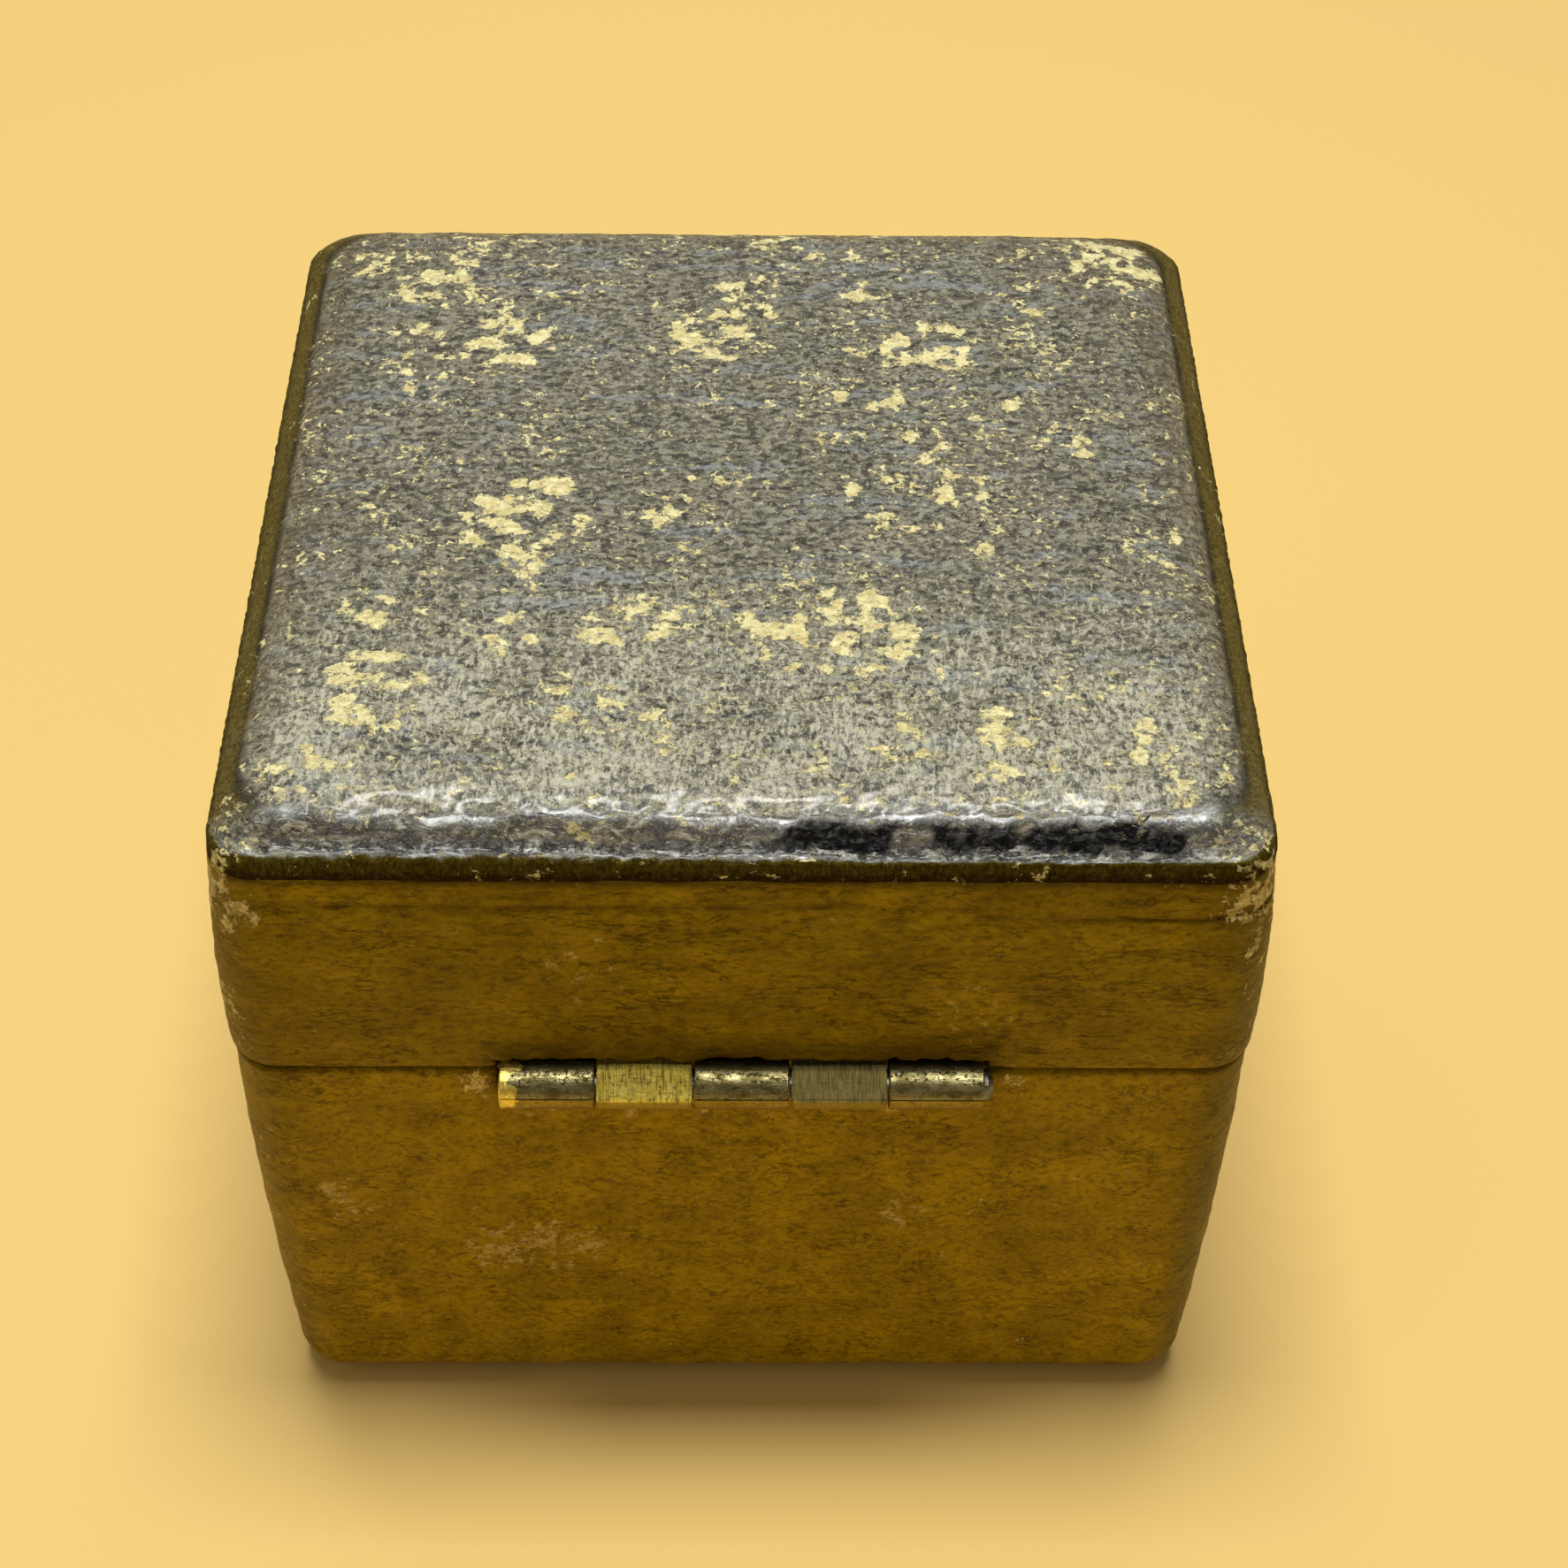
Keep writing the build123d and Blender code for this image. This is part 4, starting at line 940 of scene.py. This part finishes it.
def top_marks(flat, x, y, inset, behind, turned, hollow, groove, edge_line):
    """What the top leather's material reads at each point: where it is worn, waxed, lit and so on."""

    def bumps(*how):
        return rough_noise(flat, *how)

    # worn flakes as (x, y, radius), strongly and less strongly worn
    strong = [
        (18, -18, 2.6), (14, -12.5, 2.6), (2, -13, 2.5), (-10.5, -12, 2.5), (-22, -21.5, 2.8),
        (12, 4, 3.2), (11, 1.5, 1.8), (4.5, 11.5, 1.9), (-3, 12, 3.2), (-7, 12.5, 2.8), (19, 17, 2.8),
    ]  # fmt: skip
    weak = [
        (22, -21, 1.6), (20, -21, 1.4), (16.5, -22, 1.5), (0.5, -18, 1.4), (-1, -18, 1.4),
        (-0.5, -15.5, 1.4), (-2, -23, 1.5), (-5.5, -22, 1.5), (-7, -18, 1.5), (-17, -17, 1.6),
        (-5.5, -8, 1.4), (-7.5, -7, 1.5), (-16, -7, 1.5), (-18, -3, 1.5), (-10, -3, 1.5),
        (18.5, -9, 1.6), (19, -13, 1.6), (12, 8, 1.9), (4.5, 3, 1.6), (-8, 3.5, 1.7), (-7, 0.5, 1.6),
        (-12, 1, 1.6), (-14, 6, 1.6), (-22.5, 5.5, 1.8), (7, 12.5, 1.8), (12, 13, 1.8), (19.5, 11, 1.8),
        (8, 18.5, 1.8), (-8, 20, 1.8), (-13, 20, 1.8), (-20, 20.5, 1.7), (-22, 23.5, 1.8),
        (22, 22.5, 1.8),
    ]  # fmt: skip
    flakes = [(a, b, 0, r * 1.5, 1.0) for a, b, r in strong] + [(a, b, 0, r * 1.5, 0.86) for a, b, r in weak]
    worn = spots(flat, flakes)
    worn *= np.clip(0.80 + 1.2 * bumps(1.5, 3, 67.0), 0.3, 1.05)
    worn = np.maximum(worn, 0.44 + 0.28 * bumps(5.0, 3, 60.0))
    near = ramp(3.0, 19.0, y) * ramp(1.5, 2.4, inset) * ramp(26.2, 22.5, np.abs(x))
    worn = np.maximum(worn, near * (0.46 + 0.40 * bumps(3.0, 2, 61.0)))
    corners = ((-25.0, 25.2, 0, 2.6, 0.75), (25.3, 25.3, 0, 2.2, 0.68), (-24.6, 22.0, 0, 1.5, 0.7))
    worn = np.maximum(worn * ramp(0.3, 1.2, inset), spots(flat, corners))
    lip = ramp(0.75, 0.45, inset) * ramp(0.05, 0.2, inset)
    worn = np.maximum(worn, lip * (0.55 + 0.3 * bumps(3.0, 2, 62.0)))
    side = ramp(1.75, 1.45, inset) * (1 - behind) * ramp(25.6, 23.4, y)
    side *= 0.4 + 0.6 * ramp(-26.0, -24.5, y)
    worn = np.maximum(worn * (1 - side), side * (0.36 + 0.35 * bumps(4.0, 2, 63.0)))
    worn = np.maximum(worn, turned * behind * (0.40 + 0.45 * bumps(2.2, 2, 66.0)))
    # where the painted highlight lies: along the pillow's rear edge and along the crest
    inner_ledge = np.exp(-(((inset - 1.60 - 0.12 * edge_line) / 0.20) ** 2))
    ledge = inner_ledge + 0.7 * np.exp(-(((inset - 0.42) / 0.11) ** 2))
    lit = behind * ledge * np.clip(0.80 + 1.3 * bumps(1.6, 3, 27.0, (2.0, 1, 1)), 0, 1)
    margin = ramp(5.5, 1.7, inset) * ramp(24.0, 16.0, y) * np.clip(0.9 + 0.5 * bumps(5.0, 2, 28.0), 0, 1)
    soiled = ((-21, -22, 0, 7, 1), (22, -22, 0, 4, 0.9), (24, 5, 0, 5, 0.7))
    return {
        "turned": np.maximum(turned, side * 0.9),
        "worn": worn,
        "fluff_and_painted_light": near * (0.80 + 0.5 * bumps(4.0, 2, 64.0)),
        "waxed": behind * ramp(5.0, 2.4, inset) * ramp(0.3, 0.7, inset),
        "lit": np.clip(lit, 0, 1) * (1 - np.clip(hollow, 0, 1)),
        "hollow": np.clip(hollow * 1.3, 0, 1),
        "margin": np.maximum(margin, 0.6 * spots(flat, soiled)),
        "groove": groove * np.clip(0.7 + 0.6 * bumps(2.0, 2, 29.0), 0, 0.9),
        "shelf": behind * ramp(1.65, 1.45, inset) * ramp(0.30, 0.45, inset),
    }


def lid_top_leather():
    """The pillowed top, its puckered margin, and the edge turned down to the joint."""
    half, height, other, radius = top_profile()
    rings = len(half) - 1
    i, j, number, grid, faces = square_rings(rings)
    x, y = rounded_place(i, j, number, half, radius)
    behind = ramp(0.99, 1.12, y / np.maximum(np.abs(x), 1e-6))
    z = behind * height[number] + (1 - behind) * other[number]
    flat = np.stack([x, y, z * 0], axis=2).reshape(-1, 3) * MM

    def bumps(*how):
        return rough_noise(flat, *how)

    inset = 26.75 - half[number].reshape(-1)
    x, y, z, behind = (v.reshape(-1) for v in (x, y, z, behind))
    reach = np.maximum(np.hypot(x, y), 1e-6)
    shelf = ramp(1.35, 0.95, inset) * ramp(0.2, 0.5, inset) * behind
    # the pillow's edge wanders up and down, and overhangs hollows in the shelf's -X half
    wander = ramp(3.8, 1.9, inset) * ramp(0.5, 1.1, inset) * (0.4 + 0.6 * behind)
    edge_line = bumps(6.0, 2, 4.0)
    z += wander * (0.22 * edge_line + 0.10 * bumps(1.7, 2, 5.0))
    hollow = behind * ramp(-0.5, -3.0, x) * ramp(-23.5, -21.0, x)
    arches = 0.30 * rough_noise(flat * (1, 0, 0), 2.6, 2, 14.0) + 0.12 * bumps(0.8, 3, 16.0)
    low = 0.90 + 0.20 * bumps(1.3, 3, 15.0)
    hollow *= ramp(1.48 + arches, 1.40 + arches, inset) * ramp(low, low + 0.10, inset)
    hollow *= ramp(-0.30, -0.12, bumps(1.5, 3, 17.0, (1.6, 1, 1)))
    z -= hollow * 0.38
    crumple = 1 - 3.2 * np.abs(bumps(1.5, 3, 21.0, (1.8, 1, 1)))
    rough = np.maximum(shelf, ramp(2.6, 1.6, inset) * ramp(0.4, 0.8, inset))
    rough *= 0.15 + 0.85 * behind
    z += rough * (0.15 * np.clip(crumple, -1, 1) + 0.12 * bumps(0.55, 3, 22.0))
    crest = ramp(0.95, 0.6, inset) * ramp(0.06, 0.2, inset) * behind
    z += crest * (0.14 * bumps(0.7, 3, 24.0) + 0.14 * bumps(3.5, 2, 25.0))
    z -= ramp(1.2, 0.8, inset) * ramp(0.1, 0.4, inset) * behind * 0.42 * ramp(4.0, -10.0, x)
    groove = (1 - behind) * ramp(-25.5, -23.5, y) * np.exp(-(((inset - 1.55) / 0.22) ** 2))
    z -= groove * 0.12
    # the crown: broad dents, and the drawn-out grain
    crown = ramp(1.6, 3.0, inset)
    z += crown * (0.10 * bumps(11.0, 2, 30.0) + 0.06 * bumps(2.4, 3, 33.0, (2.4, 1, 1)))
    grain = bumps(0.55, 2, 36.0, (1.8, 1.0, 1.0))
    z += ramp(0.4, 1.5, inset) * 0.055 * grain * (0.3 + 0.7 * ramp(-25.5, -23.0, y))
    turned = ramp(0.34, 0.22, inset + 0.10 * bumps(0.6, 3, 26.0))
    fibres = rough_noise(np.stack([x, y, z], axis=1) * MM, 0.45, 3, 40.0, (1, 1, 5))
    out = turned * 0.07 * fibres * ramp(JOINT, JOINT + 0.2, z)
    x = x * (1 + out / reach)
    y = y * (1 + out / reach)
    points = np.stack([x, y, z], axis=1) * MM

    points, faces = lined(points, grid, faces)
    piece = new_piece("lid_top_cover", points, faces, "lid", top_leather_material())
    facing_out(piece)

    marks = top_marks(flat, x, y, inset, behind, turned, hollow, groove, edge_line)
    under = len(points) - len(flat)
    for name, values in marks.items():
        add_attributes(piece, **{name: np.append(values, np.full(under, float(name == "turned")))})
    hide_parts("lid_top_leather")


# ---------------------------------------------------------------- inside the case

COLUMNS = 400
ANGLES = np.linspace(0, 2 * math.pi, COLUMNS, endpoint=False)


def round_row(radius, z):
    """Points of a circle, in millimetres; radius and z may vary round it."""
    x, y = radius * np.cos(ANGLES), radius * np.sin(ANGLES)
    return np.stack([x, y, np.broadcast_to(z, ANGLES.shape)], axis=1)


def square_row(half, corner, z):
    """Points of a rounded square seen along the same rays as a circle's."""
    c, s = np.abs(np.cos(ANGLES)), np.abs(np.sin(ANGLES))
    straight = half / np.maximum(c, s)
    flat = half - corner
    middle = flat * (c + s)
    bent = middle + np.sqrt(np.maximum(middle**2 - 2 * flat**2 + corner**2, 0))
    in_corner = straight * np.minimum(c, s) > flat
    return round_row(np.where(in_corner, bent, straight), z)


def turned_piece(name, rows, body, material, capped):
    """A mesh from rows of points: closed on itself, or capped at its first and last rows."""
    grid = np.arange(len(rows) * COLUMNS).reshape(len(rows), COLUMNS)
    points = np.concatenate(rows) * MM
    faces = loft_faces(grid)
    if capped:
        faces = faces[: (len(rows) - 1) * COLUMNS]
        for row in (0, -1):
            centre = len(points)
            points = np.concatenate([points, points[grid[row]].mean(axis=0, keepdims=True)])
            ring = grid[row].tolist()
            faces += [(ring[k], ring[(k + 1) % COLUMNS], centre) for k in range(COLUMNS)]
    piece = new_piece(name, points, faces, body, material)
    facing_out(piece)
    return piece


def velvet_nest():
    """The velvet-covered block round the well."""
    top, foot, well, half = 26.0, 14.02, 18.9, 21.65
    rows = [square_row(half, 0.7, z) for z in np.linspace(foot, top - 0.6, 8)]
    for angle in np.radians((20, 45, 70)):
        rows.append(square_row(half - 0.6 * (1 - math.cos(angle)), 0.7, top - 0.6 * (1 - math.sin(angle))))
    outer, inner = square_row(half - 0.6, 0.7, top), round_row(well + 0.8, top)
    rows += [outer * (1 - t) + inner * t for t in np.linspace(0, 1, 16)]
    for angle in np.radians((15, 30, 45, 60, 75)):
        rows.append(round_row(well + 0.8 - 0.8 * math.sin(angle), top - 0.8 * (1 - math.cos(angle))))
    rows += [round_row(well, z) for z in np.linspace(top - 0.8, foot, 14)]
    rows = np.array(rows)
    flat = rows.reshape(-1, 3)
    high = ramp(top - 0.9, top, flat[:, 2])
    far = np.hypot(flat[:, 0], flat[:, 1])
    pile = 0.05 * rough_noise(flat * MM, 1.4, 3) + 0.07 * rough_noise(flat * MM, 6.0, 2)
    flat[:, 2] += high * (pile - 0.10)
    flat[:, 2] -= high * 0.22 * ramp(21.0, 19.4, far)
    piece = turned_piece("nest_velvet", list(rows), "base", velvet_material(), capped=False)
    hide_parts("nest_ring")


def silk_pad():
    """The padded silk cushion in the lid, puckered in towards its glued edges."""
    half, ceiling, low = 22.65, 43.55, 38.25
    rows = []
    for t in [0.012, *np.linspace(0.03, 0.999, 84)]:
        drop = (1 - t**4.5) ** 0.75
        rows.append(square_row(half * t, max(0.01, 2.5 * t), 42.6 - (42.6 - low) * drop))
    rows.append(square_row(half, 2.5, 43.2))
    rows += [square_row(half * t, max(0.01, 2.5 * t), ceiling) for t in (0.985, 0.7, 0.35, 0.012)]
    rows = np.array(rows)
    pull = np.zeros(rows.shape[:2])
    edge = np.array([ramp(0.50, 0.93, t) * ramp(1.0, 0.97, t) for t in np.linspace(0, 1, 85)])
    folds = round_row(9.0, 0) * MM
    pleat = rough_noise(folds, 0.65, 2, 3.0) + 0.6 * rough_noise(folds, 0.3, 2, 7.0)
    pull[:85] = edge[:, None] * pleat[None, :] * 0.55
    flat = rows.reshape(-1, 3)
    inner = np.repeat(np.concatenate([np.ones(84), np.zeros(len(rows) - 84)]), COLUMNS)
    soft = 0.30 * rough_noise(flat * MM, 9.0, 2, 2.0) + 0.06 * rough_noise(flat * MM, 2.0, 3, 6.0)
    flat[:, 2] = np.maximum(flat[:, 2] + pull.reshape(-1) + inner * (soft + 0.32), 38.2)
    piece = turned_piece("lid_silk_pad", list(rows), "lid", CAD_LOOKS["lid_silk"], capped=True)
    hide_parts("lid_pad")


def used_cake():
    """The cake of rosin: moulded sides, a worn channel, chipped and powdered on top."""
    bottom, top, radius, foot = 14.6, 32.6, 18.0, 17.6
    rows = [round_row(r, top) for r in np.linspace(0.12, radius - 1.5, 70)]
    for angle in np.radians(np.linspace(10, 90, 9)):
        rows.append(round_row(radius - 1.5 + 1.5 * math.sin(angle), top - 1.5 * (1 - math.cos(angle))))
    for z in np.linspace(top - 2.0, bottom + 0.35, 34):
        rows.append(round_row(foot + (radius - foot) * (z - bottom) / (top - bottom), z))
    rows += [round_row(foot - 0.2, bottom + 0.05)]
    rows += [round_row(r, bottom) for r in (foot - 0.5, 9.0, 0.12)]
    rows = np.array(rows)
    flat = rows.reshape(-1, 3)
    x, y, z = flat.T
    high = ramp(top - 2.6, top - 0.4, z)
    channel = top + 13.0 - np.sqrt(196.0 - np.clip(y, -5.6, 5.6) ** 2)
    channel += 0.10 * rough_noise(flat * MM, 3.0, 3, 5.0, (3, 1, 1)) * (np.abs(y) < 5.2)
    flat[:, 2] = np.minimum(z, np.where(np.abs(y) < 5.4, channel, top))
    lines = rough_noise(flat * MM, 0.45, 2, 8.0, (8, 1, 1))
    far = np.hypot(x, y)
    chips = np.clip(rough_noise(flat * MM, 1.6, 3, 11.0) - 0.22, 0, 1) * ramp(14.5, 17.5, far) * high
    flat[:, 2] += high * (0.035 * lines - 0.04) - 0.9 * chips
    waste = 0.9 * chips * (z > top - 2.5) + 0.02 + 0.02 * rough_noise(flat * MM, 2.0, 3, 14.0)
    inward = 1 - waste / np.maximum(far, 1)
    flat[:, 0] *= inward
    flat[:, 1] *= inward
    piece = turned_piece("used_rosin_cake", list(rows), "rosin", rosin_material(), capped=True)
    rubbed = ramp(6.0, 4.0, np.abs(y)) * high * 0.55 + 0.25 * high + 0.35 * np.clip(chips * 4, 0, 1)
    add_attributes(piece, rubbed=np.concatenate([rubbed, (0.7, 0.0)]))
    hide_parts("rosin_cake")


def cake_cloth():
    """A disc of cloth under the cake, darted and turned up round it, with a pinked edge."""
    floor, top, outer, inner = 14.03, 27.2, 18.50, 18.2
    zigzag = np.abs((ANGLES / (2 * math.pi) * 100) % 1 - 0.5) * 2
    ragged = rough_noise(round_row(18.0, 0) * MM, 1.0, 3, 5.0)
    edge = top - 0.06 - 0.75 * zigzag - 0.25 * np.clip(ragged + 0.3, 0, 1)
    ripple = 0.07 * rough_noise(round_row(18.0, 0) * MM, 1.5, 2, 9.0)

    def side(radius, start, steps):
        found = []
        for t in steps:
            z = start + (edge - start) * t
            found.append(round_row(radius + ripple * t + 0.02 * math.sin(9 * t), z))
        return found

    rows = [round_row(r, floor) for r in np.linspace(0.2, outer - 0.7, 30)]
    rows += [round_row(outer - 0.4, floor + 0.1), round_row(outer - 0.1, floor + 0.35)]
    rows += side(outer, floor + 0.7, np.linspace(0, 1, 40))
    rows += side(inner, floor + 0.9, np.linspace(1, 0, 40))
    rows += [round_row(inner - 0.15, floor + 0.5), round_row(inner - 0.4, floor + 0.32)]
    rows += [round_row(r, floor + 0.3) for r in np.linspace(inner - 0.8, 0.2, 30)]
    piece = turned_piece("cake_cloth", rows, "rosin", CAD_LOOKS["rosin_cloth"], capped=True)
    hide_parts("rosin_cloth")


def leaf_spring():
    """The whole spring in one piece, from its screwed foot to its tip."""
    front, back, bend = -24.1, -23.85, 12.5
    rows = []
    spans = ((7.4, 11.2, 8), (11.3, 26.75, 60), (26.8, 27.2, 4))  # foot, leaf and nose
    for z in np.concatenate([np.linspace(*span) for span in spans]):
        half = 4.2 if z < 11.25 else 2.0
        face = front - (0.12 if z > 26.78 else 0.0)
        loop = [(-half + 0.05, face), (half - 0.05, face), (half, face + 0.05), (half, back - 0.05)]
        loop += [(half - 0.05, back), (-half + 0.05, back), (-half, back - 0.05), (-half, face + 0.05)]
        rows.append([(x, y, z) for x, y in loop])
    count = 8
    grid = np.arange(len(rows) * count).reshape(len(rows), count)
    faces = loft_faces(grid)[: (len(rows) - 1) * count] + [tuple(grid[0]), tuple(grid[-1])]
    mesh = bpy.data.meshes.new("leaf_spring")
    mesh.from_pydata([tuple(p) for p in np.array(rows).reshape(-1, 3) * MM], [], faces)
    mesh.materials.append(CAD_LOOKS["spring_steel"])
    piece = bpy.data.objects.new("leaf_spring", mesh)
    bpy.context.scene.collection.objects.link(piece)
    facing_out(piece)
    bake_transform(piece)
    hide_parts("catch_spring", "catch_spring_foot")


# ---------------------------------------------------------------- the whole

make_camera()
make_floor()
make_light()
METALS = {  # bright, dull and dark colours, and roughness
    "steel_pin": ((0.34, 0.34, 0.33), (0.15, 0.14, 0.13), (0.07, 0.05, 0.04), 0.35),
    "spring_steel": ((0.30, 0.33, 0.38), (0.16, 0.17, 0.20), (0.05, 0.05, 0.06), 0.25),
    "plate_brass": ((0.66, 0.50, 0.20), (0.40, 0.29, 0.10), (0.12, 0.08, 0.03), 0.26),
    "brads": ((0.52, 0.40, 0.17), (0.28, 0.20, 0.08), (0.08, 0.05, 0.02), 0.35),
}
CAD_LOOKS = {
    "wood": wood_material(),
    "foot_panel": paper_material(),
    "rim_silk": cloth_material("rim_silk", (0.10, 0.012, 0.018), (0.19, 0.03, 0.035), 0.22),
    "lid_silk": cloth_material("lid_silk", (0.46, 0.34, 0.17), (0.62, 0.50, 0.30), 0.18, 0.5),
    "hinge_brass": hinge_base_material(),
    "filed_brass": hinge_lid_material(),
    "rosin_cloth": cloth_material("rosin_cloth", (0.03, 0.07, 0.12), (0.06, 0.12, 0.20), 0.30, 0.2),
}
for name, look in METALS.items():
    CAD_LOOKS[name] = metal_material(name, *look)[0].material
base_leather()
lid_wall_leather()
lid_top_leather()
velvet_nest()
silk_pad()
used_cake()
cake_cloth()
leaf_spring()
for entry in frame["record"]["subparts"]:
    look = CAD_LOOKS.get(entry["material_slot"])
    if look:
        mesh = frame["nodes"][entry["node"]].data
        mesh.materials.clear()
        mesh.materials.append(look)
